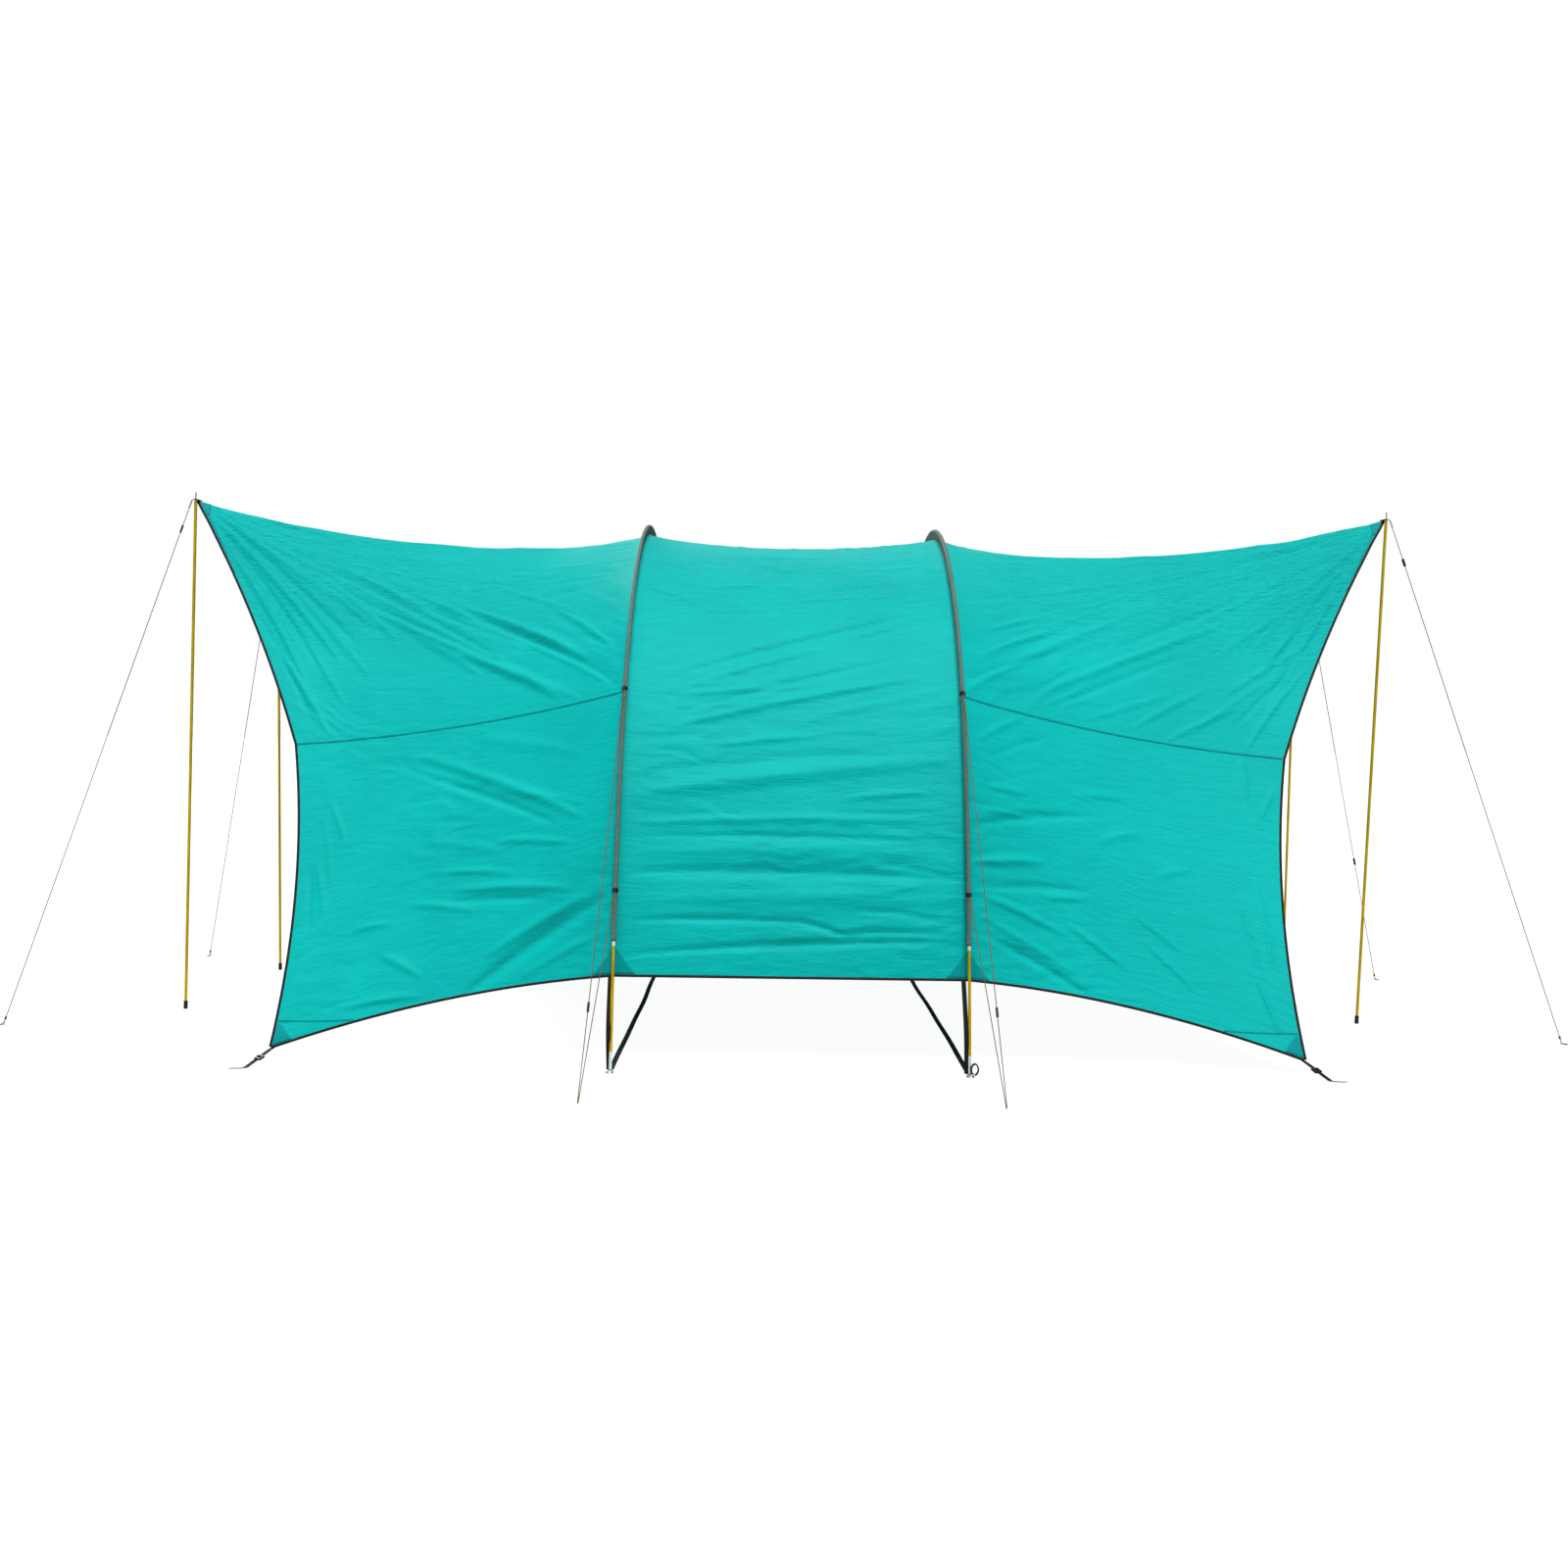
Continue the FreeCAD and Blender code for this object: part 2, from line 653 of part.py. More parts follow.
def slider(middle, along):
    """Small cord lock with a lengthwise hole, and a cross hole where the cord is pinched."""
    a = middle - along * (SLIDER_LENGTH / 2)
    b = middle + along * (SLIDER_LENGTH / 2)
    body = bar(a, b, SLIDER_WIDTH, SLIDER_HEIGHT, Vector(1, 0.3, 0.2))
    body = body.makeFillet(2.0, [edge for edge in body.Edges if edge.Length > SLIDER_WIDTH + 1])
    return body.cut(rod(a - along, b + along, CORD_RADIUS + SLIDER_CLEARANCE))


def main():
    write("centre_panel", [centre_panel()])
    roof = wing_roof()
    write("wing_roof_right", [roof])
    write("wing_roof_left", [to_quarter(roof, "near_left")])
    wall = wing_wall()
    for quarter in QUARTERS:
        write("wing_wall_" + quarter, [to_quarter(wall, quarter)])
    for node, solids in (("arch_sleeve", arch_sleeve()), ("arch_pole", arch_poles())):
        write(node + "_right", solids)
        write(node + "_left", [to_quarter(solid, "near_left") for solid in solids])
    for node, solids in (("arch_ferrules", arch_ferrules()), ("arch_shock_cords", arch_shock_cord())):
        write(node, solids + [to_quarter(solid, "near_left") for solid in solids])
    binding = edge_binding()
    write("edge_bindings", [binding, to_quarter(binding, "near_left")])
    binding = hem_binding()
    write("hem_bindings", [binding, to_quarter(binding, "far_right")])
    write("hem_patches", hem_patches())
    write("ground_corner_patches", ground_corner_patches())
    write("pole_corner_patches", pole_corner_patches())
    write("arch_tips", four(arch_tip()))
    write("foot_pins", four(foot_pin()))
    write("foot_rings", four(foot_ring()))
    write("ground_straps", [ground_strap(), to_quarter(ground_strap(), "near_left")])
    write("hem_straps", [hem_strap(quarter) for quarter in QUARTERS])
    write("corner_straps", four(corner_strap()))
    write("eyelets", four(eyelet()))
    write("corner_tabs", four(corner_tab()))
    write("arch_guy_tabs", four(arch_tab(UPPER_TAB_HEIGHT)) + four(arch_tab(LOWER_TAB_HEIGHT)))
    write("wing_guy_loops", [guy_loop(quarter) for quarter in QUARTERS])
    route = arch_guy_route()
    arch_guy = cord(route, CORD_RADIUS)
    upper_leg = (route[1] - route[0]).normalize()
    arch_slider = slider(route[0] + upper_leg * ARCH_SLIDER_DROP, upper_leg)
    print("arch guy", route, "direction", upper_leg)
    for quarter in QUARTERS:
        write("pole_%s" % quarter, pole_sections(quarter))
        write("pole_foot_%s" % quarter, [pole_foot(quarter)])
        write("pole_spike_%s" % quarter, [pole_spike(quarter)])
        write("corner_buckle_%s" % quarter, [to_quarter(corner_buckle(), quarter)])
        write("arch_guy_%s" % quarter, [to_quarter(arch_guy, quarter)])
        write("arch_slider_%s" % quarter, [to_quarter(arch_slider, quarter)])
        anchor, peg, down = wing_guy_ends(quarter)
        top = anchor + down * (GUY_LOOP_LENGTH + 0.5)
        write("wing_guy_%s" % quarter, [rod(top, peg, CORD_RADIUS)])
        drop = WING_SLIDER_DROP[quarter]
        write("wing_slider_%s" % quarter, [slider(anchor + down * drop, down)])
        print("wing guy", quarter, top, peg, down, "head", pole_head(quarter), "axis", pole_axis(quarter)[1])
    print("arch half span %.1f, height %.1f" % (ARCH_HALF_SPAN, arch_at(ARCH_LENGTH / 2)[1]))
    start, end = corner_run()
    print("corner run", start, end, (end - start).normalize())


main()
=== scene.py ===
"""Looks of the tunnel tarp shelter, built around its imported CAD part.

Metres, in the part's own frame: +X runs along the tunnel through both arches, +Y from the near side
to the far one, +Z up. Left is -X, right is +X, near is -Y and far is +Y.
"""
import math
import random

import bpy
import numpy as np
from mathutils import Matrix, Vector


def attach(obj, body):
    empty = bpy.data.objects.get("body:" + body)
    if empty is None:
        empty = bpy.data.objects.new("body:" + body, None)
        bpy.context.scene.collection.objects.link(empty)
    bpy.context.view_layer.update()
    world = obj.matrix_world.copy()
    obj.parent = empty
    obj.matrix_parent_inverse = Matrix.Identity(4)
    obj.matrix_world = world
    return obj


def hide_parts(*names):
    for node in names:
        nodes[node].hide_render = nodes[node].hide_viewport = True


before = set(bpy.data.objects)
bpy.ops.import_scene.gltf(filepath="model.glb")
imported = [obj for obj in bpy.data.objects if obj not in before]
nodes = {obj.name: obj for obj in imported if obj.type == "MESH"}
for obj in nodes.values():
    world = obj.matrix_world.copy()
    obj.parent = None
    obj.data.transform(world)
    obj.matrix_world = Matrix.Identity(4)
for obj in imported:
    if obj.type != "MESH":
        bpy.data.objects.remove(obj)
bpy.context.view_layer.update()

# sizes of the part that the soft pieces follow
SECTION_LENGTH = 0.45
ARCH_SECTIONS = 13
ARCH_LENGTH = SECTION_LENGTH * ARCH_SECTIONS
FOOT_SLOPE = math.radians(81.8)
ARCH_X = 0.627
FABRIC_DROP = 0.035
HEM_START = 0.336
HALF_CLOTH = ARCH_LENGTH / 2 - HEM_START
LOWER_CORNER = np.array((1.832, -1.534, 0.054))
SEAM_CORNER = np.array((1.909, -1.007, 1.117))
TOP_CORNER = np.array((2.476, -0.51, 2.119))
SEAM_T = 0.42
TOP_T = 0.824
WALL_BOW = 0.045
SLOPE_BOW = 0.032
END_BOW = 0.16
END_SAG = 0.112
HEM_RISE = 0.044
WALL_SAG = 0.055
ROOF_SAG = 0.099
CENTRE_SAG = 0.05
SLEEVE_START = 0.453
EYELET_OFFSET = np.array((0, -0.023, -0.001))
LOOP_OFFSET = 0.0145          # from an eyelet's middle to the top of its guy loop
CORD_DIAMETER = 0.003
GUY_LOOP_LENGTH = 0.038

# tapes, straps and thread: width and thickness
SEAM_TAPE = (0.0075, 0.0013)
DART_TAPE = (0.006, 0.0012)
BINDING_TAPE = (0.0095, 0.0032)
GROUND_STRAP = (0.02, 0.0014)
HEM_STRAP = (0.0165, 0.0015)
FOOT_LOOP = (0.01, 0.005)
GUY_LOOP = (0.009, 0.0012)
STITCH = (0.0007, 0.0005)
BINDING_OFFSET = 0.0038       # the binding's middle is this far beyond the cloth's edge
SEAM_LIFT = 0.0006            # middle of a seam tape above the cloth
STITCH_LIFT = 0.0014
PATCH_THICKNESS = 0.0007
STITCH_PITCH = 0.0043         # in parts of the seam, as is the length
STITCH_LENGTH = 0.0027

# how finely the cloth is meshed and how it is shaped between its folds
CLOTH_STEP = 0.0092
WING_REACH = 1.5              # metres across a wing, on average
WING_FOLD_DEPTH = 1.35        # the listed folds are this many times deeper than their heights say
CENTRE_FOLD_DEPTH = 1.3
ARCH_DIP = 0.007              # cloth drops this much right beside an arch
ARCH_DIP_REACH = 0.045
QUARTERS = ("near_left", "near_right", "far_left", "far_right")


# camera, as the photo's perspective gives it

CAMERA_PLACE = (-0.1, -6.907, 1.174)
CAMERA_TURN = (0.012, 0.031, 0.015)       # yaw, pitch and roll, in radians
CAMERA_LENS = 35.01                       # millimetres, on a frame 36 wide


def add_object(name, data):
    made = bpy.data.objects.new(name, data)
    bpy.context.scene.collection.objects.link(made)
    return made


def aim_camera():
    yaw, pitch, roll = CAMERA_TURN
    forward = Vector((math.sin(yaw) * math.cos(pitch), math.cos(yaw) * math.cos(pitch), -math.sin(pitch)))
    level = Vector((math.cos(yaw), -math.sin(yaw), 0))
    upright = level.cross(forward)
    right = level * math.cos(roll) + upright * math.sin(roll)
    up = upright * math.cos(roll) - level * math.sin(roll)
    data = bpy.data.cameras.new("camera")
    data.sensor_width = 36
    data.lens = CAMERA_LENS
    camera = add_object("camera", data)
    turned = Matrix((right, up, -forward)).transposed().to_4x4()
    camera.matrix_world = Matrix.Translation(CAMERA_PLACE) @ turned
    bpy.context.scene.camera = camera


aim_camera()


# node materials

class Look:
    """A material and short calls that add nodes to it."""

    def __init__(self, name):
        self.material = bpy.data.materials.new(name)
        self.material.use_nodes = True
        self.tree = self.material.node_tree
        self.shader = self.tree.nodes["Principled BSDF"]

    def add(self, kind, inputs=None, **settings):
        made = self.tree.nodes.new("ShaderNode" + kind)
        for name, value in settings.items():
            setattr(made, name, value)
        for name, value in (inputs or {}).items():
            self.put(made.inputs[name], value)
        return made

    def put(self, socket, value):
        if isinstance(value, bpy.types.NodeSocket):
            self.tree.links.new(value, socket)
        else:
            socket.default_value = value

    def maths(self, operation, first, second=0):
        return self.add("Math", {0: first, 1: second}, operation=operation).outputs[0]

    def times(self, first, second):
        return self.maths("MULTIPLY", first, second)

    def attribute(self, name, kind="Vector"):
        return self.add("Attribute", attribute_name=name).outputs[kind]

    def inside_object(self):
        return self.add("TexCoord").outputs["Object"]

    def stretched(self, vector, scale):
        return self.add("Mapping", {"Vector": vector, "Scale": scale}).outputs[0]

    def noise(self, vector, scale, detail=3, roughness=0.5, distortion=0):
        values = {"Vector": vector, "Scale": scale, "Detail": detail, "Roughness": roughness,
                  "Distortion": distortion}
        return self.add("TexNoise", values).outputs[0]

    def between(self, factor, low, high):
        values = {"Value": factor, "To Min": low, "To Max": high}
        return self.add("MapRange", values).outputs[0]

    def ramp(self, factor, start, end):
        """0 where factor is at or below start, 1 at or above end."""
        values = {"Value": factor, "From Min": start, "From Max": end}
        return self.add("MapRange", values, interpolation_type="SMOOTHSTEP").outputs[0]

    def mix(self, factor, first, second):
        return self.add("Mix", {0: factor, 6: first, 7: second}, data_type="RGBA").outputs[2]

    def bump(self, height, strength, distance, normal=None):
        values = {"Height": height, "Strength": strength, "Distance": distance}
        if normal is not None:
            values["Normal"] = normal
        return self.add("Bump", values).outputs[0]

    def set(self, **values):
        for name, value in values.items():
            self.put(self.shader.inputs[name.replace("_", " ")], value)
        return self.material


def shade(red, green, blue):
    """Linear colour from display values of 0 to 255."""
    def linear(value):
        value /= 255
        return value / 12.92 if value <= 0.04045 else ((value + 0.055) / 1.055) ** 2.4
    return (linear(red), linear(green), linear(blue), 1)


def threads(look, place, pitch_x, pitch_y):
    """Height of a plain weave whose threads are that far apart."""
    parts = look.add("SeparateXYZ", {0: place}).outputs
    x = look.maths("SINE", look.times(parts[0], 2 * math.pi / pitch_x))
    y = look.maths("SINE", look.times(parts[1], 2 * math.pi / pitch_y))
    return look.times(x, y)


def cloth_look(name, light, dark, crease_strength=1):
    """Coated ripstop cloth: fine weave, mottled tone with painted shade in the crease hollows, and crinkles
    that grow with the crinkle attribute.
    """
    look = Look(name)
    place = look.attribute("cloth")
    crinkle = look.attribute("crinkle", "Fac")
    weave = threads(look, place, 0.0009, 0.0009)
    long_crease = look.noise(look.stretched(place, (5, 24, 1)), 1, 4, 0.55, 1.4)
    short_crease = look.noise(look.stretched(place, (26, 60, 1)), 1, 4, 0.6, 0.9)
    sharp = look.maths("ABSOLUTE", look.maths("SUBTRACT", short_crease, 0.5))
    heights = look.bump(weave, 0.12, 0.0002)
    heights = look.bump(long_crease, 0.35 * crease_strength, 0.012, heights)
    strength = look.times(crinkle, 0.75 * crease_strength)
    heights = look.bump(sharp, strength, 0.014, heights)
    mottle = look.noise(place, 2.2, 5, 0.6)
    # painted shade: the tone takes in the crease heights, so the colour is darker in the crease hollows
    tone = look.maths("ADD", look.times(mottle, 0.7), look.times(long_crease, 0.3))
    colour = look.mix(look.ramp(tone, 0.3, 0.72), dark, light)
    colour = look.mix(look.times(look.ramp(weave, 0, 1), 0.05), colour, dark)
    rough = look.between(short_crease, 0.46, 0.6)
    return look.set(Base_Color=colour, Roughness=rough, Normal=heights, Specular_IOR_Level=0.03,
                    Sheen_Weight=0.07, Sheen_Roughness=0.35)


def woven_look(name, light, dark, pitch):
    """Webbing or tape: ribs across, worn lighter here and there."""
    look = Look(name)
    place = look.attribute("cloth")
    weave = threads(look, place, pitch, pitch * 1.6)
    fuzz = look.noise(place, 900, 2)
    wear = look.noise(place, 22, 4, 0.6)
    tone = look.maths("ADD", look.times(weave, 0.25), look.ramp(wear, 0.35, 0.8))
    colour = look.mix(tone, dark, light)
    heights = look.bump(weave, 0.6, 0.0004, look.bump(fuzz, 0.2, 0.0003))
    return look.set(Base_Color=colour, Roughness=0.75, Normal=heights, Specular_IOR_Level=0.12)


def mesh_tape_look(name):
    """Open mesh tape: pale threads over holes painted dark with the shade inside the sleeve, seen from afar
    as a speckled grey.
    """
    look = Look(name)
    place = look.attribute("cloth")
    holes = look.ramp(threads(look, place, 0.0042, 0.0042), 0.15, 0.55)
    speckle = look.ramp(look.noise(place, 260, 3, 0.7), 0.4, 0.62)
    broad = look.ramp(look.noise(place, 14, 3), 0.3, 0.75)
    colour = look.mix(speckle, shade(50, 68, 63), shade(96, 108, 100))
    colour = look.mix(look.times(broad, 0.35), colour, shade(56, 78, 74))
    # painted shade: the holes are darkened as the shadowed inside of the sleeve
    colour = look.mix(look.times(holes, 0.6), colour, shade(16, 24, 24))
    heights = look.bump(holes, 0.7, -0.0005, look.bump(speckle, 0.3, 0.0006))
    return look.set(Base_Color=colour, Roughness=0.8, Normal=heights, Specular_IOR_Level=0.12)


def metal_look(name, light, dark, rough, brush=(900, 900, 4)):
    """Drawn or turned metal: streaks along the piece, soft smudges, a few worn spots."""
    look = Look(name)
    place = look.inside_object()
    streaks = look.noise(look.stretched(place, brush), 1, 3, 0.6)
    smudge = look.noise(place, 9, 4, 0.6)
    worn = look.ramp(look.noise(place, 140, 5, 0.7), 0.62, 0.76)
    colour = look.mix(look.ramp(smudge, 0.35, 0.65), dark, light)
    colour = look.mix(look.times(worn, 0.05), colour, shade(225, 222, 214))
    roughness = look.maths("ADD", look.times(streaks, 0.12), rough - 0.06)
    return look.set(Base_Color=colour, Roughness=roughness, Metallic=1,
                    Normal=look.bump(streaks, 0.03, 0.0002))


def moulded_look(name, light, dark, rough, grain):
    """Rubber or moulded plastic with a fine grain and dust here and there."""
    look = Look(name)
    place = look.inside_object()
    texture = look.noise(place, grain, 4, 0.6)
    dust = look.ramp(look.noise(place, 45, 4, 0.6), 0.45, 0.8)
    colour = look.mix(dust, dark, light)
    return look.set(Base_Color=colour, Roughness=look.between(texture, rough - 0.08, rough + 0.08),
                    Normal=look.bump(texture, 0.25, 0.0003), Specular_IOR_Level=0.2)


def cord_look(name, light, dark, fleck):
    """Braided cord: two tones in short slanted flecks."""
    look = Look(name)
    place = look.inside_object()
    braid = look.noise(look.stretched(place, (700, 700, 420)), 1, 1)
    colour = look.mix(look.ramp(braid, 0.42, 0.58), dark, light)
    flecks = look.ramp(look.noise(place, 900, 1), 0.6, 0.66)
    colour = look.mix(look.times(flecks, 0.5), colour, fleck)
    return look.set(Base_Color=colour, Roughness=0.8, Normal=look.bump(braid, 0.5, 0.0005),
                    Specular_IOR_Level=0.12)


TEAL = cloth_look("cloth", shade(0, 131, 127), shade(0, 123, 120))
PATCH = cloth_look("patch_cloth", shade(0, 108, 108), shade(0, 98, 100), 0.4)
THREAD = woven_look("seam_thread", shade(0, 84, 86), shade(0, 66, 68), 0.0012)
BINDING = woven_look("binding_tape", shade(34, 26, 28), shade(18, 13, 15), 0.0016)
SLEEVE = mesh_tape_look("sleeve_mesh")
GREEN_WEBBING = woven_look("green_webbing", shade(6, 30, 27), shade(2, 15, 14), 0.0021)
BLACK_WEBBING = woven_look("black_webbing", shade(16, 17, 17), shade(5, 6, 6), 0.0021)
GOLD = metal_look("pole_aluminium", shade(186, 158, 10), shade(170, 142, 4), 0.5)
SILVER = metal_look("silver_aluminium", shade(242, 244, 244), shade(218, 221, 222), 0.36)
BARE_TIP = metal_look("tip_aluminium", shade(236, 242, 240), shade(204, 212, 210), 0.34)
STEEL = metal_look("steel", shade(166, 178, 174), shade(118, 132, 128), 0.3, (60, 60, 60))
RUBBER = moulded_look("rubber", shade(26, 26, 25), shade(11, 11, 11), 0.72, 420)
PLASTIC = moulded_look("black_plastic", shade(22, 22, 20), shade(8, 8, 8), 0.5, 700)
ORANGE_CORD = cord_look("orange_cord", shade(84, 56, 20), shade(60, 40, 14), shade(112, 84, 44))
PALE_CORD = cord_look("pale_cord", shade(62, 58, 36), shade(44, 42, 24), shade(86, 82, 58))
ELASTIC = cord_look("shock_cord", shade(60, 60, 60), shade(30, 30, 30), shade(120, 120, 120))


# meshes

def settle(name, data, material, body, replaced):
    """Put a piece on its body, where it stands for the replaced CAD nodes."""
    data.materials.append(material)
    made = add_object(name, data)
    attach(made, body)
    if replaced:
        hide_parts(*replaced)
    return made


def piece(name, points, faces, cloth, material, slot, body="canopy", replaced=(), crinkle=None, smooth=True):
    """A mesh. cloth is each point's place on the flat cloth, and crinkle how creased it is, from 0 to 1."""
    mesh = bpy.data.meshes.new(name)
    mesh.from_pydata(np.asarray(points, float).reshape(-1, 3).tolist(), [], faces)
    for label, kind, field, values in (("cloth", "FLOAT_VECTOR", "vector", cloth),
                                       ("crinkle", "FLOAT", "value", crinkle)):
        if values is not None:
            values = np.asarray(values, np.float32).ravel()
            mesh.attributes.new(label, kind, "POINT").data.foreach_set(field, values)
    mesh.polygons.foreach_set("use_smooth", [smooth] * len(mesh.polygons))
    return settle(name, mesh, material, body, replaced)


def grid_faces(rows, columns, wrap=False):
    """Quads over points laid out row by row; wrap joins each row's last point to its first."""
    faces = []
    for here in range(0, (rows - 1) * columns, columns):
        for c in range(columns if wrap else columns - 1):
            after = (c + 1) % columns
            faces.append((here + c, here + after, here + columns + after, here + columns + c))
    return faces


def joined(parts):
    """One mesh of several, each given as its points, faces and cloth coordinates."""
    faces, start = [], 0
    for points, sides, _ in parts:
        faces += [tuple(i + start for i in side) for side in sides]
        start += len(points)
    return np.concatenate([part[0] for part in parts]), faces, np.concatenate([part[2] for part in parts])


def circle(count):
    angles = np.linspace(0, 2 * math.pi, count, endpoint=False)
    return np.stack([np.cos(angles), np.sin(angles)], axis=-1)


def stack(x, y, z):
    return np.stack(np.broadcast_arrays(x, y, z), axis=-1).astype(float)


def unit(vectors):
    return vectors / np.linalg.norm(vectors, axis=-1, keepdims=True)


def beside(down):
    """The level direction across a line, and the one square to both."""
    side = unit(np.cross(down, (0, 0, 1)))
    return side, np.cross(side, down)


def sweep(centres, sides, ups, section):
    """Points and faces of a closed section carried along a line: one list of (side, up), or one per point."""
    sides, ups = (np.broadcast_to(each, centres.shape) for each in (sides, ups))
    section = np.asarray(section, float)
    if section.ndim == 2:
        section = np.broadcast_to(section, (len(centres),) + section.shape)
    points = centres[:, None] + sides[:, None] * section[..., :1] + ups[:, None] * section[..., 1:]
    count = section.shape[1]
    last = (len(centres) - 1) * count
    caps = [tuple(range(count - 1, -1, -1)), tuple(range(last, last + count))]
    return points.reshape(-1, 3), grid_faces(len(centres), count, wrap=True) + caps


def lengths_along(line):
    steps = np.linalg.norm(np.diff(line, axis=0), axis=1)
    return np.concatenate([[0], np.cumsum(steps)])


FLAT_BELOW = np.array([(-0.5, -0.25), (-0.46, -0.5), (-0.16, -0.5), (0.16, -0.5), (0.46, -0.5), (0.5, -0.25)])
FLAT_SECTION = np.concatenate([FLAT_BELOW, -FLAT_BELOW])


def ribbon(line, normals, width, thickness):
    """Points, faces and cloth coordinates of a flat tape along a line, whose flat side faces the normals."""
    line = np.asarray(line, float)
    tangents = unit(np.gradient(line, axis=0))
    sides = unit(np.cross(tangents, normals))
    ups = np.cross(sides, tangents)
    section = FLAT_SECTION * stack(width, thickness, lengths_along(line))[:, None, :2]
    along = np.repeat(lengths_along(line), len(FLAT_SECTION))
    return *sweep(line, sides, ups, section), stack(section[..., 0].ravel(), along, 0)


def ribbons(name, runs, material, slot, replaced=()):
    """One piece of several tapes, each (line, normals, width, thickness)."""
    return piece(name, *joined([ribbon(*run) for run in runs]), material, slot, replaced=replaced)


def curved(points, count):
    """Smooth line through a few points, by Catmull-Rom."""
    pull = 0.5
    points = [Vector(p) for p in points]
    padded = [points[0] * 2 - points[1], *points, points[-1] * 2 - points[-2]]
    line = []
    for a, b, c, d in zip(padded, padded[1:], padded[2:], padded[3:]):
        for i in range(count):
            s = i / count
            line.append(b + (c - a) * pull * (s - 2 * s ** 2 + s ** 3) + (c - b) * (3 * s ** 2 - 2 * s ** 3)
                        + (d - b) * pull * (s ** 3 - s ** 2))
    return np.array([*line, points[-1]], float)


def to_quarter(point, quarter):
    x, y, z = point
    return Vector((-x if "left" in quarter else x, -y if "far" in quarter else y, z))


def eyelet(quarter):
    return to_quarter(TOP_CORNER + EYELET_OFFSET, quarter)


# the arch: a bent pole's slope falls off as a cosine, and each section is one arc

def arch_slope(section):
    return FOOT_SLOPE * np.cos(np.pi * section / ARCH_SECTIONS)


def chord(y, z, slope_a, slope_b, length):
    reach = length * np.sinc((slope_a - slope_b) / 2 / np.pi)
    mean = (slope_a + slope_b) / 2
    return y + reach * np.cos(mean), z + reach * np.sin(mean)


def arch_joints():
    joints = [(0, 0)]
    for section in range(ARCH_SECTIONS):
        joints.append(chord(*joints[-1], arch_slope(section), arch_slope(section + 1), SECTION_LENGTH))
    joints = np.array(joints)
    joints[:, 0] -= joints[-1, 0] / 2
    return joints


ARCH_JOINTS = arch_joints()


def arch_at(length):
    """Y, Z and slope of the pole at a length from its near foot."""
    length = np.asarray(length, float)
    section = np.minimum((length // SECTION_LENGTH).astype(int), ARCH_SECTIONS - 1)
    part = length / SECTION_LENGTH - section
    slope_a = arch_slope(section)
    slope = slope_a + (arch_slope(section + 1) - slope_a) * part
    start = ARCH_JOINTS[section]
    y, z = chord(start[..., 0], start[..., 1], slope_a, slope, part * SECTION_LENGTH)
    return y, z, slope


# canopy: across runs from 0 at the arch to 1 at the free edge, or from -1 to 1 on the centre panel,
# and t from 0 at the near hem through 1 at the ridge to 2 at the far hem

def bow(part):
    return 4 * part * (1 - part)


def arch_fabric(t):
    """Points of the cloth below the arch at X = 0, and the inward direction."""
    y, z, slope = arch_at(HEM_START + HALF_CLOTH * t)
    inward = stack(0, np.sin(slope), -np.cos(slope))
    return stack(0, y, z) + inward * FABRIC_DROP, inward


def free_edge(t):
    near_t = np.minimum(t, 2 - t)
    low = near_t / SEAM_T
    middle = (near_t - SEAM_T) / (TOP_T - SEAM_T)
    high = (near_t - TOP_T) / (1 - TOP_T)
    pull = 1 - (1 - high) ** 2
    wall = LOWER_CORNER + (SEAM_CORNER - LOWER_CORNER) * low[..., None] - stack(WALL_BOW * bow(low), 0, 0)
    slope = SEAM_CORNER + (TOP_CORNER - SEAM_CORNER) * middle[..., None]
    slope = slope - stack(SLOPE_BOW * bow(middle), 0, 0)
    end = TOP_CORNER + stack(-END_BOW * pull, -TOP_CORNER[1] * high, -END_SAG * pull)
    point = np.where((near_t <= SEAM_T)[..., None], wall, np.where((near_t <= TOP_T)[..., None], slope, end))
    return point * stack(1, np.where(t <= 1, 1, -1), 1)


def ease(part):
    part = np.clip(part, 0, 1)
    return part * part * (3 - 2 * part)


def fold_height(across, t, fold, reach):
    """Height of one fold: a soft ridge from one (across, t) to another, with a width and a height."""
    across_a, t_a, across_b, t_b, width, height = fold
    run = np.array(((across_b - across_a) * reach, (t_b - t_a) * HALF_CLOTH))
    length = np.hypot(*run)
    x, y = (across - across_a) * reach, (t - t_a) * HALF_CLOTH
    along = (x * run[0] + y * run[1]) / length ** 2
    aside = (x * run[1] - y * run[0]) / length * (1 if run[0] > 0 else -1)
    inside = bow(np.clip(along, 0, 1))
    aside = (aside + 0.012 * length * inside) / (width * (0.55 + 0.45 * inside))
    return height * np.exp(-aside * aside) * (1 - 0.7 * aside) * inside ** 0.7


def grain(x, y, seed):
    """Smooth noise between -1 and 1, with one bump per unit."""
    size = 97
    table = np.random.default_rng(seed).uniform(-1, 1, (size, size))
    column, row = np.floor(x).astype(int), np.floor(y).astype(int)
    u, v = ease(x - column), ease(y - row)
    near, far = (table[column % size, line % size] * (1 - u) + table[(column + 1) % size, line % size] * u
                 for line in (row, row + 1))
    return near * (1 - v) + far * v


def creases(x, y, angle, length, width, seed):
    """Sharp little ridges that run at an angle, gathered in patches with smooth cloth between them."""
    along = (x * math.cos(angle) + y * math.sin(angle)) / length
    aside = (y * math.cos(angle) - x * math.sin(angle)) / width
    aside = aside + 0.8 * grain(along * 1.3, aside * 0.3, seed + 1)
    ridge = 0.42 - np.abs(grain(along, aside, seed + 2)) - 0.5 * np.abs(grain(along * 2, aside * 2, seed + 3))
    patches = ease(0.45 + 1.1 * grain(x / 0.42, y / 0.36, seed + 4))
    return ridge * patches


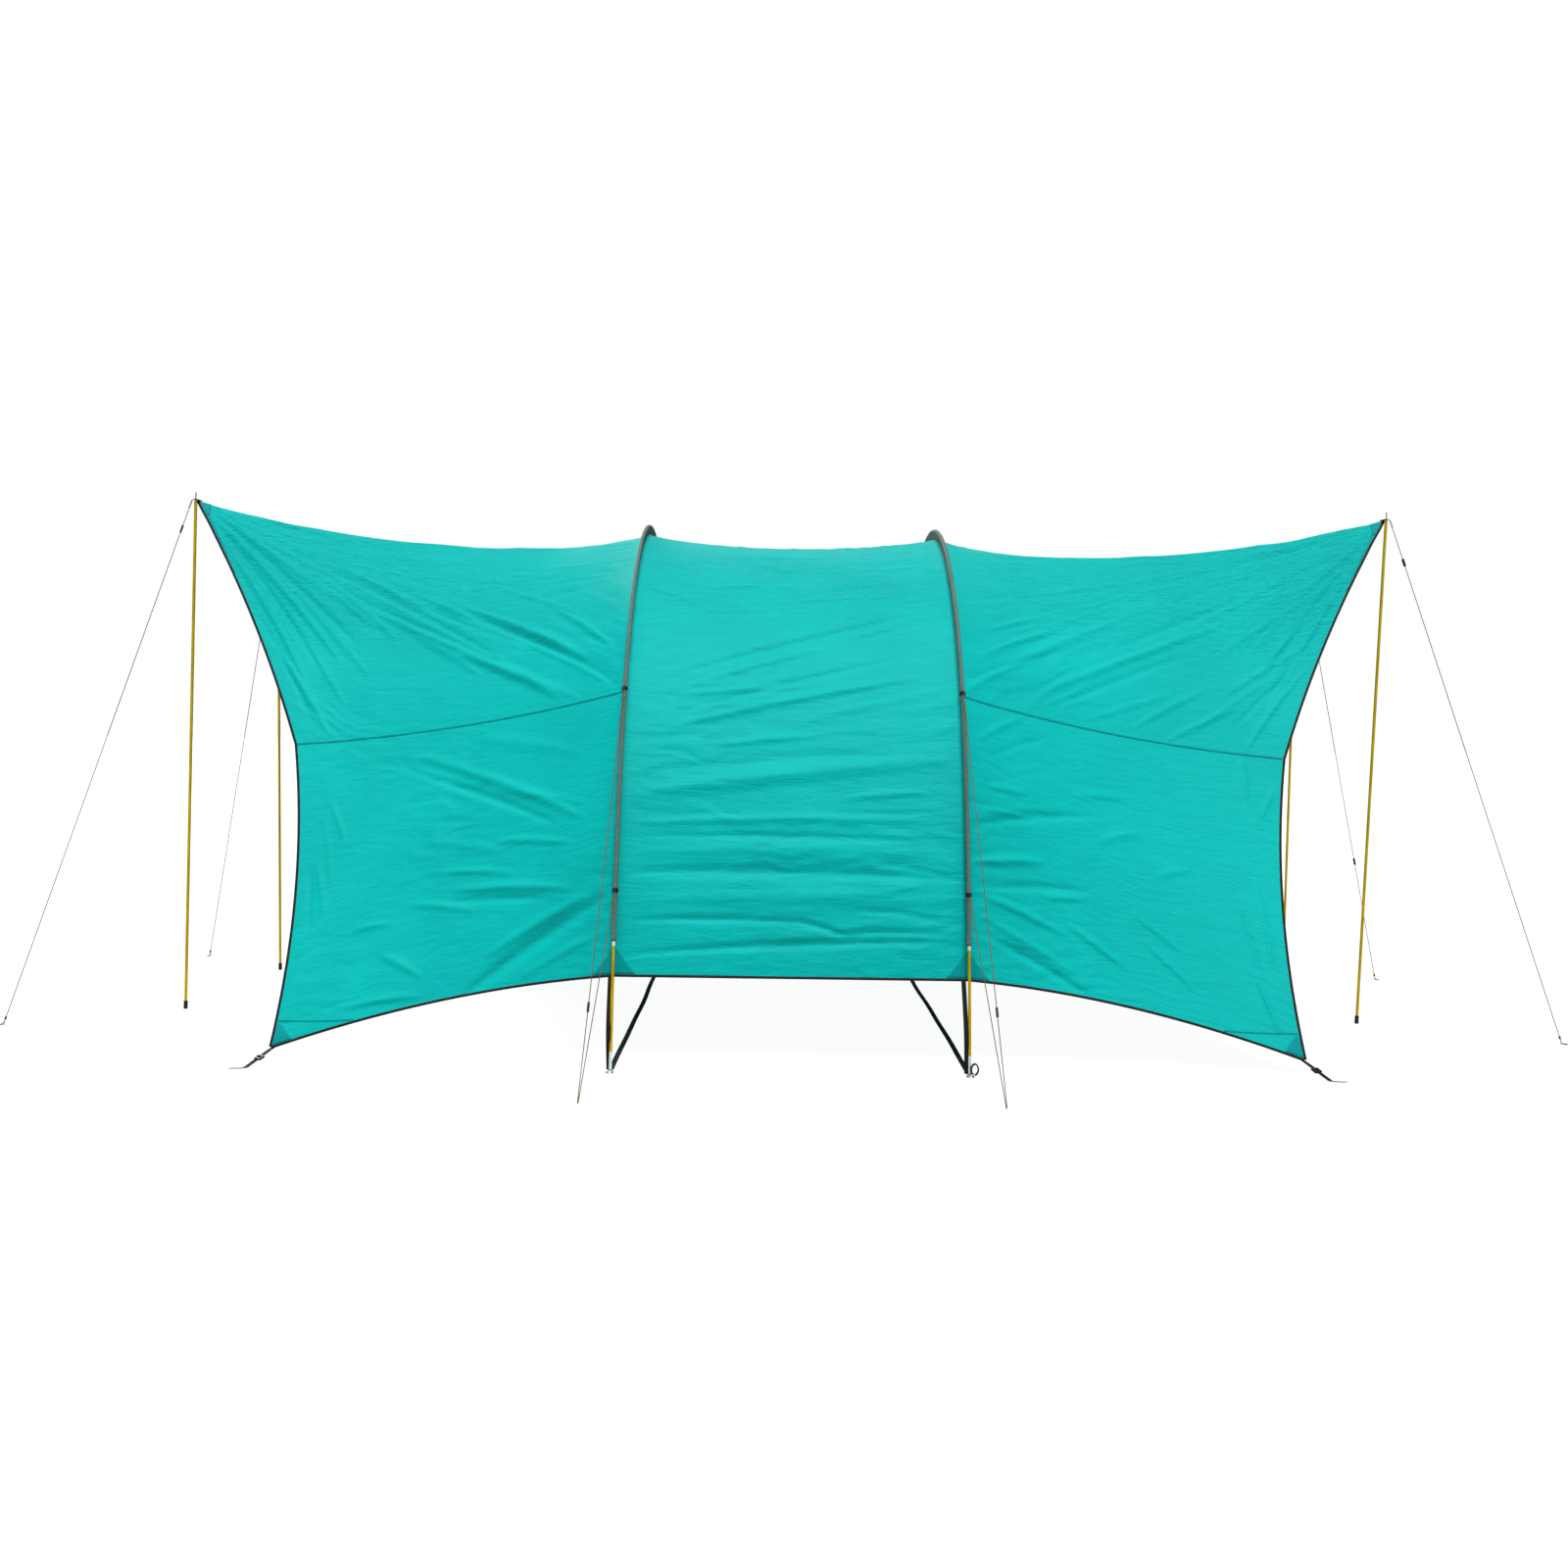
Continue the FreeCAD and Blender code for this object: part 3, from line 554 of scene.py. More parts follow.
class Panel:
    """A sheet of the canopy: side is -1 for the left wing, 0 for the centre and 1 for the right wing."""

    def __init__(self, side, near_folds, far_folds, seed):
        self.side = side
        self.folds = near_folds, far_folds
        self.seed = seed
        self.reach = WING_REACH if side else ARCH_X

    def relief(self, across, t):
        """How far the folds lift the cloth outwards."""
        near_t = np.minimum(t, 2 - t)
        near, far = (sum(fold_height(across, near_t, fold, self.reach) for fold in folds)
                     for folds in self.folds)
        low_angle, high_angle, ridge_angle = (0.1, 0.62, 0.05) if self.side else (0.02, 0.12, 0.04)
        x, y = across * self.reach, near_t * HALF_CLOTH
        # the creases change their run above the wall seam and again near the ridge
        high = ease((near_t - 0.38) / 0.1)
        top = ease((near_t - 0.66) / 0.12)
        fine = creases(x, y, low_angle, 0.2, 0.04, self.seed) * (1 - high) * 0.0046
        fine = fine + creases(x, y, high_angle, 0.22, 0.036, self.seed + 10) * high * (1 - top) * 0.0052
        fine = fine + creases(x, y, ridge_angle, 0.13, 0.032, self.seed + 20) * top * 0.0085
        depth = WING_FOLD_DEPTH if self.side else CENTRE_FOLD_DEPTH
        near, far = near * depth + fine, far * depth + fine
        from_arch = across * WING_REACH if self.side else (1 - np.abs(across)) * ARCH_X
        held = ease(from_arch / 0.05) * ease((1.005 - near_t) / 0.05)
        dip = ARCH_DIP * (1 - np.exp(-from_arch / ARCH_DIP_REACH))
        if self.side:
            held = held * (1 - 0.75 * ease((across - 0.96) / 0.04))
            dip = dip * (1 - across)
        return np.where(t <= 1, near, far) * held - dip

    def place(self, across, t):
        across, t = np.broadcast_arrays(np.asarray(across, float), np.asarray(t, float))
        near_t = np.minimum(t, 2 - t)
        base, inward = arch_fabric(t)
        if self.side:
            base = base + stack(ARCH_X, 0, 0)
            sag = (WALL_SAG + (ROOF_SAG - WALL_SAG) * near_t) * bow(across)
            point = base + (free_edge(t) - base) * across[..., None]
            point = point + stack(0, 0, HEM_RISE * bow(across) * (1 - near_t) ** 3)
        else:
            point = base + stack(ARCH_X * across, 0, 0)
            sag = CENTRE_SAG * near_t * (1 - across ** 2)
        point = point + inward * (sag - self.relief(across, t))[..., None]
        return point * np.array((-1 if self.side < 0 else 1, 1, 1))

    def outward(self, across, t):
        """Unit direction out of the cloth."""
        step = 0.002
        across, t = np.asarray(across, float), np.asarray(t, float)
        over = self.place(across + step, t) - self.place(across - step, t)
        up = self.place(across, t + step) - self.place(across, t - step)
        normal = unit(np.cross(over, up))
        _, inward = arch_fabric(t)
        return normal * np.where((normal * inward).sum(-1, keepdims=True) > 0, -1, 1)

    def cloth_at(self, across, t):
        return stack((np.asarray(across) + 2.2 * self.side) * self.reach, np.asarray(t) * HALF_CLOTH, 0)


# folds, each (across, t) to (across, t), then width and height; a negative height is a hollow

LEFT_FOLDS = [
    # roof
    (0.99, 0.81, 0.66, 0.68, 0.017, 0.006), (0.97, 0.79, 0.8, 0.6, 0.016, 0.005),
    (0.98, 0.77, 0.91, 0.57, 0.013, 0.004), (0.93, 0.79, 0.72, 0.63, 0.015, -0.004),
    (0.81, 0.73, 0.64, 0.59, 0.018, 0.006), (0.72, 0.66, 0.19, 0.43, 0.026, 0.01),
    (0.75, 0.69, 0.29, 0.48, 0.02, -0.008), (0.73, 0.74, 0.55, 0.655, 0.015, 0.006),
    (0.57, 0.69, 0.42, 0.62, 0.013, 0.006), (0.55, 0.66, 0.44, 0.61, 0.012, -0.006),
    (0.46, 0.66, 0.12, 0.5, 0.018, 0.009), (0.43, 0.63, 0.02, 0.43, 0.02, -0.009),
    (0.68, 0.7, 0.38, 0.54, 0.018, -0.006), (0.22, 0.63, 0.05, 0.51, 0.015, 0.007),
    (0.3, 0.56, 0.05, 0.44, 0.016, 0.007), (0.52, 0.56, 0.14, 0.425, 0.024, 0.006),
    (0.99, 0.6, 0.9, 0.43, 0.015, 0.005), (1, 0.66, 0.94, 0.45, 0.012, -0.004),
    (0.9, 0.6, 0.83, 0.47, 0.016, 0.003), (0.86, 0.66, 0.74, 0.52, 0.016, 0.003),
    (0.99, 0.835, 0.78, 0.93, 0.016, 0.004), (0.98, 0.825, 0.7, 0.8, 0.016, -0.004),
    (0.6, 0.6, 0.42, 0.5, 0.022, 0.004), (0.36, 0.7, 0.14, 0.6, 0.014, 0.004),
    (1.02, 0.84, 0.92, 0.5, 0.015, 0.008), (1.02, 0.83, 0.87, 0.53, 0.016, -0.008),
    (1.01, 0.83, 0.81, 0.55, 0.017, 0.009), (1, 0.82, 0.75, 0.58, 0.018, -0.008),
    (0.99, 0.815, 0.68, 0.61, 0.02, 0.008), (0.98, 0.81, 0.6, 0.66, 0.018, -0.005),
    # wall
    (0.64, 0.38, 0.1, 0.225, 0.022, 0.007), (0.68, 0.36, 0.19, 0.225, 0.018, -0.006),
    (0.4, 0.3, 0.1, 0.25, 0.016, 0.003), (0.4, 0.22, 0.14, 0.195, 0.014, 0.005),
    (0.58, 0.19, 0.32, 0.165, 0.013, 0.005), (0.52, 0.157, 0.14, 0.127, 0.018, 0.007),
    (0.54, 0.14, 0.2, 0.115, 0.015, -0.005), (0.67, 0.152, 0.44, 0.12, 0.014, 0.005),
    (0.46, -0.01, 0.02, 0.11, 0.034, -0.012), (0.4, 0.045, 0.09, 0.115, 0.02, 0.006),
    (0.3, 0.005, 0.02, 0.062, 0.016, 0.004), (0.82, 0.131, 0.7, 0.128, 0.011, 0.005),
    (0.84, 0.024, 0.57, 0.01, 0.013, 0.006), (0.73, 0.088, 0.58, 0.036, 0.015, 0.005),
    (0.91, 0.33, 0.86, 0.26, 0.012, 0.003), (0.95, 0.245, 0.91, 0.16, 0.012, 0.003),
    (0.97, 0.24, 0.955, 0.14, 0.011, -0.003), (0.93, 0.31, 0.9, 0.2, 0.012, 0.002),
    (0.5, 0.4, 0.12, 0.33, 0.03, 0.003), (0.62, 0.24, 0.36, 0.2, 0.02, 0.003),
]
RIGHT_FOLDS = [
    # roof
    (0, 0.42, 0.54, 0.69, 0.02, 0.006), (0.26, 0.47, 0.75, 0.66, 0.02, 0.007),
    (0.28, 0.44, 0.66, 0.59, 0.018, -0.004), (0.07, 0.51, 0.29, 0.605, 0.015, 0.006),
    (0.08, 0.56, 0.25, 0.63, 0.013, 0.005), (0.02, 0.45, 0.3, 0.56, 0.014, -0.005),
    (0.2, 0.68, 0.52, 0.76, 0.013, 0.004), (0.72, 0.58, 0.95, 0.715, 0.013, 0.004),
    (0.77, 0.51, 0.97, 0.61, 0.013, 0.004), (0.88, 0.42, 0.98, 0.565, 0.012, 0.005),
    (0.63, 0.42, 0.84, 0.5, 0.013, 0.004), (0.53, 0.435, 0.73, 0.525, 0.014, 0.004),
    (0.38, 0.43, 0.64, 0.51, 0.014, 0.003), (0.8, 0.6, 0.98, 0.77, 0.012, -0.004),
    (0.85, 0.55, 0.99, 0.72, 0.012, 0.004), (0.9, 0.5, 0.99, 0.65, 0.012, -0.004),
    (0.83, 0.46, 0.96, 0.57, 0.012, -0.003), (0.72, 0.45, 0.9, 0.55, 0.012, 0.003),
    (0.6, 0.62, 0.96, 0.8, 0.016, 0.004), (0.5, 0.74, 0.97, 0.822, 0.016, -0.004),
    (0.66, 0.9, 0.98, 0.835, 0.016, 0.004), (0.44, 0.58, 0.8, 0.72, 0.02, -0.004),
    (1.02, 0.84, 0.93, 0.5, 0.013, 0.006), (1.02, 0.83, 0.88, 0.54, 0.014, -0.006),
    (1.01, 0.83, 0.82, 0.6, 0.016, 0.005),
    # wall
    (0.04, 0.35, 0.2, 0.415, 0.013, 0.004), (0.08, 0.33, 0.28, 0.39, 0.013, -0.003),
    (0.03, 0.22, 0.42, 0.275, 0.018, -0.006), (0.02, 0.165, 0.26, 0.185, 0.016, 0.007),
    (0.05, 0.13, 0.4, 0.155, 0.015, -0.005), (0.24, 0.132, 0.38, 0.142, 0.011, 0.005),
    (0.02, 0.122, 0.31, 0.082, 0.016, 0.006), (0.04, 0.065, 0.38, -0.004, 0.018, -0.006),
    (0.03, 0.09, 0.32, 0.03, 0.016, 0.004), (0.31, 0.1, 0.49, 0.052, 0.015, 0.005),
    (0.52, 0.137, 0.67, 0.098, 0.014, 0.004), (0.55, 0.1, 0.7, 0.045, 0.015, 0.004),
    (0.87, 0.41, 0.9, 0.345, 0.011, 0.004), (0.94, 0.32, 0.995, 0.385, 0.011, 0.003),
    (0.92, 0.235, 0.955, 0.1, 0.013, 0.004), (0.875, 0.18, 0.925, 0.06, 0.012, -0.004),
    (0.89, 0.1, 0.94, 0.022, 0.012, 0.005), (0.07, 0.282, 0.2, 0.285, 0.014, 0.005),
    (0.06, 0.245, 0.18, 0.25, 0.012, 0.004), (0.34, 0.3, 0.52, 0.315, 0.018, 0.003),
    (0.42, 0.235, 0.56, 0.265, 0.016, 0.003), (0.6, 0.2, 0.72, 0.225, 0.015, 0.003),
]
CENTRE_FOLDS = [
    (-0.7, 0.455, 0.8, 0.592, 0.017, -0.007), (-0.62, 0.435, 0.76, 0.568, 0.015, 0.007),
    (-0.3, 0.475, 0.74, 0.56, 0.013, -0.006), (-0.76, 0.36, 0.76, 0.455, 0.016, 0.008),
    (-0.7, 0.385, 0.7, 0.497, 0.015, -0.005), (-0.5, 0.332, 0.22, 0.354, 0.013, 0.005),
    (-0.72, 0.415, 0.1, 0.44, 0.013, 0.005), (-0.72, 0.395, -0.1, 0.405, 0.012, 0.004),
    (0.05, 0.375, 0.92, 0.43, 0.02, 0.004), (-0.6, 0.585, -0.14, 0.594, 0.012, -0.005),
    (-0.9, 0.648, -0.5, 0.592, 0.012, 0.005), (-0.94, 0.252, 0.94, 0.312, 0.036, 0.009),
    (-0.9, 0.285, 0.5, 0.325, 0.03, -0.004), (0.28, 0.253, 0.8, 0.263, 0.013, 0.005),
    (-0.92, 0.212, 0.76, 0.221, 0.016, 0.006), (-0.92, 0.192, 0.78, 0.19, 0.013, -0.005),
    (-0.96, 0.14, 0.96, 0.135, 0.028, -0.009), (0.46, 0.158, 0.88, 0.144, 0.012, -0.005),
    (-0.92, 0.168, 0.8, 0.172, 0.024, 0.004), (-0.92, 0.074, 0.16, 0.073, 0.013, -0.007),
    (0.02, 0.076, 0.34, 0.054, 0.012, -0.006), (0.2, 0.058, 0.86, 0.061, 0.012, -0.006),
    (0.34, 0.093, 0.88, 0.078, 0.012, -0.005), (-0.95, 0.026, 0.92, 0.048, 0.015, -0.007),
    (-0.95, 0.1, 0.92, 0.104, 0.03, 0.004), (-0.28, 0.72, 0.28, 0.726, 0.012, -0.005),
    (0.1, 0.652, 0.66, 0.674, 0.013, -0.005), (-0.6, 0.66, 0, 0.672, 0.013, 0.004),
    (-0.5, 0.79, 0.3, 0.8, 0.013, 0.004), (-0.2, 0.62, 0.6, 0.64, 0.013, 0.004),
]


def crinkles(seed, count, across_range, t_range, tilt):
    """Short shallow folds scattered over part of a panel."""
    draw = random.Random(seed)
    folds = []
    for _ in range(count):
        across, t = draw.uniform(*across_range), draw.uniform(*t_range)
        half, rise = draw.uniform(0.03, 0.1), draw.uniform(-0.01, 0.01) + tilt
        height = draw.choice((-1, 1)) * draw.uniform(0.0012, 0.0026)
        folds.append((across - half, t - rise, across + half, t + rise, draw.uniform(0.011, 0.015), height))
    return folds


WING_TOP = ((0.05, 0.6), (0.66, 0.96))
CENTRE_TOP = ((-0.82, 0.82), (0.56, 0.96))
LEFT = Panel(-1, LEFT_FOLDS + crinkles(1, 46, *WING_TOP, 0), RIGHT_FOLDS + crinkles(2, 46, *WING_TOP, 0), 100)
RIGHT = Panel(1, RIGHT_FOLDS + crinkles(3, 46, (0.05, 0.6), (0.62, 0.96), 0.004),
              LEFT_FOLDS + crinkles(4, 46, *WING_TOP, 0), 200)
CENTRE = Panel(0, CENTRE_FOLDS + crinkles(5, 60, *CENTRE_TOP, 0.003),
               CENTRE_FOLDS[:22] + crinkles(6, 60, *CENTRE_TOP, -0.003), 300)
PANELS = {"left": LEFT, "right": RIGHT}


def canopy_sheet(name, panel, replaced):
    columns = int((WING_REACH * 1.05 if panel.side else 2 * ARCH_X) / CLOTH_STEP) + 1
    rows = int(2 * HALF_CLOTH / CLOTH_STEP) + 1
    first = 0 if panel.side else -1
    t, across = np.meshgrid(np.linspace(0, 2, rows), np.linspace(first, 1, columns), indexing="ij")
    crinkle = 0.25 + 0.75 * ease((np.minimum(t, 2 - t) - 0.48) / 0.2)
    faces = [face if panel.side < 0 else face[::-1] for face in grid_faces(rows, columns)]
    return piece(name, panel.place(across, t), faces, panel.cloth_at(across, t), TEAL, "cloth",
                 replaced=replaced, crinkle=crinkle)


def cloth_patch(name, quads, replaced, lift=0.0007):
    """Patches sewn on the outside, as thin closed solids. Each is a panel and four (across, t) corners."""
    count = 14
    size = count * count
    outer = grid_faces(count, count)
    under = [tuple(i + size for i in face[::-1]) for face in outer]
    border = [*range(count), *range(2 * count - 1, size, count), *range(size - 2, size - count - 1, -1),
              *range(size - 2 * count, 0, -count)]
    walls = [(b, a, a + size, b + size) for a, b in zip(border, border[1:] + border[:1])]
    u, v = np.meshgrid(np.linspace(0, 1, count), np.linspace(0, 1, count), indexing="ij")
    rim = np.minimum(np.minimum(u, 1 - u), np.minimum(v, 1 - v))
    top = lift + PATCH_THICKNESS * ease(rim * count / 1.5)[..., None]
    parts = []
    for panel, corners in quads:
        corners = np.asarray(corners, float)
        place = ((1 - u) * (1 - v))[..., None] * corners[0] + (u * (1 - v))[..., None] * corners[1] \
            + (u * v)[..., None] * corners[2] + ((1 - u) * v)[..., None] * corners[3]
        across, t = place[..., 0], place[..., 1]
        surface, out = panel.place(across, t), panel.outward(across, t)
        points = np.concatenate([(surface + out * rise).reshape(-1, 3) for rise in (top, 0.0002)])
        cloth = np.tile(panel.cloth_at(across, t).reshape(-1, 3), (2, 1))
        parts.append((points, outer + under + walls, cloth))
    crinkle = np.full(2 * size * len(parts), 0.2)
    piece(name, *joined(parts), PATCH, "patch_cloth", replaced=replaced, crinkle=crinkle)


def on_cloth(panel, path, count, lift):
    """A line along a panel: path gives (across, t) for 0 to 1."""
    across, t = np.broadcast_arrays(*path(np.linspace(0, 1, count)))
    out = panel.outward(across, t)
    return panel.place(across, t) + out * lift, out


# cords first: four wing guys and four arch guys

def cord(name, points, material, replaced):
    """Cord along a route of control points."""
    data = bpy.data.curves.new(name, "CURVE")
    data.dimensions = "3D"
    data.bevel_depth = CORD_DIAMETER / 2
    data.bevel_resolution = 3
    data.resolution_u = 16
    data.use_fill_caps = True
    spline = data.splines.new("NURBS")
    spline.points.add(len(points) - 1)
    for slot_point, point in zip(spline.points, points):
        slot_point.co = (*point, 1)
    spline.order_u = 3
    spline.use_endpoint_u = True
    return settle(name, data, material, "canopy", [replaced])


def tube(line, radius, sides=8):
    """Points and faces of a round rod along a line."""
    tangents = unit(np.gradient(line, axis=0))
    across = unit(np.cross(tangents[0], (0.31, 0.52, 0.79)))
    rights = []
    for tangent in tangents:
        across = unit(across - tangent * (across @ tangent))
        rights.append(across)
    rights = np.array(rights)
    return sweep(line, rights, np.cross(tangents, rights), circle(sides) * radius)


def end_knot(name, end, down):
    """Wraps of the cord round itself above the ground, and the small loop that a peg goes through."""
    end, down = np.array(end), np.array(down)
    side, over = beside(down)
    turns, above, height = 3.5, 0.03, 0.012
    part = np.linspace(0, 1, 60)[:, None]
    angle = part * 2 * math.pi * turns
    wraps = end - down * above + down * (height * part) \
        + (side * np.cos(angle) + over * np.sin(angle)) * CORD_DIAMETER
    ahead = unit(down * (1, 1, 0))
    ground = end * (1, 1, 0) + (0, 0, CORD_DIAMETER / 2 + 0.0001)
    loop = curved([wraps[-1], end - down * 0.008 + side * 0.004, ground + ahead * 0.008 + side * 0.008,
                   ground + ahead * 0.022, ground + ahead * 0.008 - side * 0.008, ground - ahead * 0.004], 6)
    rod = tube(np.concatenate([wraps, loop[1:]]), CORD_DIAMETER / 2)
    return piece(name, *rod, None, PALE_CORD, "pale_cord")


def guys():
    ends = {"near_left": (-3.075, -0.923, 0.0024), "near_right": (3.075, -0.923, 0.0024),
            "far_left": (-2.95, 0.95, 0.0024), "far_right": (2.965, 0.66, 0.0024)}
    made = {}
    for quarter, end in ends.items():
        head = eyelet(quarter)
        end = Vector(end)
        aside = Vector((end.x - head.x, end.y - head.y, 0)).normalized()
        anchor = head + aside * LOOP_OFFSET - Vector((0, 0, 0.002))
        down = (end - anchor).normalized()
        start = anchor + down * (GUY_LOOP_LENGTH + 0.0005)
        route = [start, start + down * 0.018, end - down * 0.018, end]
        line = cord("guy_wing_" + quarter, route, PALE_CORD, "wing_guy_" + quarter)
        knot = end_knot("knot_wing_" + quarter, end, down)
        made[quarter] = (anchor, down)
        route = [(0.627, -1.258689, 1.354426), (0.6784, -2.1113, 0.0271), (0.679, -2.121, 0.01197),
                 (0.679, -2.11164, 0.003), (0.6779, -2.0995, 0.0162), (0.627, -1.537806, 0.626651)]
        route = [to_quarter(point, quarter) for point in route]
        line = cord("guy_arch_" + quarter, route, ORANGE_CORD, "arch_guy_" + quarter)
    return made


GUY_TOPS = guys()


# canopy

centre_sheet = canopy_sheet("canopy_centre", CENTRE, ["centre_panel"])
for side, panel in PANELS.items():
    replaced = ["wing_roof_" + side, "wing_wall_near_" + side, "wing_wall_far_" + side]
    canopy_sheet("canopy_wing_" + side, panel, replaced)


def seams():
    """Felled seams: the wall seams of both wings and the short darts at the ground corners."""
    for side, panel in PANELS.items():
        runs = []
        for seam_t in (SEAM_T, 2 - SEAM_T):
            runs.append((*on_cloth(panel, lambda s: (0.002 + 0.996 * s, seam_t), 180, SEAM_LIFT), *SEAM_TAPE))
        for hem_t, up in ((0, 1), (2, -1)):
            def dart(s):
                return 0.995 - 0.225 * s, hem_t + up * (0.03 * (1 - s) ** 1.15 + 0.002)
            runs.append((*on_cloth(panel, dart, 50, SEAM_LIFT), *DART_TAPE))
        ribbons("wing_seams_" + side, runs, PATCH, "patch_cloth")


seams()


def stitches():
    """Two rows of thread along each wall seam, each stitch a short raised dash."""
    starts = 0.005 + STITCH_PITCH * np.arange(230)
    ends = np.stack([starts, starts + STITCH_LENGTH], axis=1).ravel()
    for side, panel in PANELS.items():
        runs = []
        for middle in (SEAM_T, 2 - SEAM_T):
            for row_t in (middle - 0.0009, middle + 0.0009):
                line, out = on_cloth(panel, lambda s: (ends, row_t), 2, STITCH_LIFT)
                runs += [(line[i:i + 2], out[i:i + 2], *STITCH) for i in range(0, len(ends), 2)]
        ribbons("seam_stitches_" + side, runs, THREAD, "cloth")


stitches()


def bindings():
    """Tape round the free edges and along both hems."""
    runs = []
    for panel in PANELS.values():
        t = np.linspace(0, 2, 520)
        edge = panel.place(1, t)
        beyond = unit(edge - panel.place(0.99, t))
        out = panel.outward(np.full_like(t, 0.999), t)
        runs.append((edge + beyond * BINDING_OFFSET, out, *BINDING_TAPE))
    ribbons("free_edge_bindings", runs, BINDING, "binding_tape", ["edge_bindings"])
    runs = []
    for t in (0, 2):
        lines = [LEFT.place(np.linspace(1, 0, 120), t), CENTRE.place(np.linspace(-1, 1, 90), t)[1:],
                 RIGHT.place(np.linspace(0, 1, 120), t)[1:]]
        facing = unit(np.array((0, -1 if t == 0 else 1, 0.15)))
        runs.append((np.concatenate(lines) - (0, 0, BINDING_OFFSET), facing, *BINDING_TAPE))
    ribbons("hem_tapes", runs, BINDING, "binding_tape", ["hem_bindings"])


bindings()


def mirrored(corners):
    """The same corners on the far half of a panel."""
    return [(across, 2 - t) for across, t in corners]


def on_wings(*shapes):
    """Each near patch and its far twin, on both wings."""
    return [(panel, corners) for panel in PANELS.values() for near in shapes
            for corners in (near, mirrored(near))]


def patches():
    wing = [(0.001, 0.001), (0.065, 0.001), (0.003, 0.036), (0.001, 0.036)]
    centre_left = [(-0.999, 0.001), (-0.88, 0.001), (-0.994, 0.036), (-0.999, 0.036)]
    centre_right = [(-across, t) for across, t in centre_left]
    near = (centre_left, centre_right)
    quads = [(CENTRE, corners) for corners in (*near, *map(mirrored, near))] + on_wings(wing)
    cloth_patch("arch_hem_patches", quads, ["hem_patches"])
    ground = [(0.945, 0.001), (0.999, 0.001), (0.999, 0.028), (0.988, 0.028)]
    cloth_patch("ground_patches", on_wings(ground), ["ground_corner_patches"], 0.0012)
    top = [(0.972, TOP_T - 0.001), (0.999, TOP_T - 0.001), (0.999, TOP_T - 0.026), (0.991, TOP_T - 0.026)]
    band = [(0.99, TOP_T - 0.027), (0.999, TOP_T - 0.027), (0.999, TOP_T - 0.125), (0.997, TOP_T - 0.125)]
    cloth_patch("pole_patches", on_wings(top, band), ["pole_corner_patches"], 0.0009)


patches()


# sleeves

def sleeve(side):
    """Mesh tape folded round the arch and sewn to the cloth, puckered a little and flared at both mouths."""
    length = np.linspace(SLEEVE_START, ARCH_LENGTH - SLEEVE_START, 560)
    y, z, slope = arch_at(length)
    centre = stack(PANELS[side].side * ARCH_X, y, z)
    inward = stack(0, np.sin(slope), -np.cos(slope))
    half = [(0, -0.0082), (0.0044, -0.007), (0.0068, -0.004), (0.0076, 0.0005), (0.0066, 0.0058),
            (0.0044, 0.011), (0.0025, 0.0165), (0.0015, 0.023), (0.0013, 0.0345)]
    profile = np.array(half + [(-x, depth) for x, depth in reversed(half[1:])])
    ends = np.minimum(length - length[0], length[-1] - length)
    flare = 1 + 0.22 * np.exp(-ends / 0.012)
    pucker = 0.05 * np.sin(length * 71) + 0.04 * np.sin(length * 173 + 1.3) + 0.03 * np.sin(length * 31 + 0.4)
    sections = np.repeat(profile[None], len(length), axis=0)
    sections[..., 0] *= (flare + pucker)[:, None]
    sections[..., 0] += (0.0009 * np.sin(length * 23) + 0.0007 * np.sin(length * 57))[:, None] \
        * np.clip(profile[:, 1] / 0.03, 0, 1)
    sections[..., 1] *= np.where(profile[:, 1] < 0, (flare + pucker / 2)[:, None], 1)
    points, faces = sweep(centre, (1, 0, 0), inward, sections)
    round_it = lengths_along(np.vstack([profile, profile[:1]]))[:-1]
    cloth = stack(np.tile(round_it, len(length)), np.repeat(length, len(profile)), 0)
    piece("sleeve_" + side, points, faces, cloth, SLEEVE, "sleeve_mesh", replaced=["arch_sleeve_" + side])


for side in PANELS:
    sleeve(side)


# straps

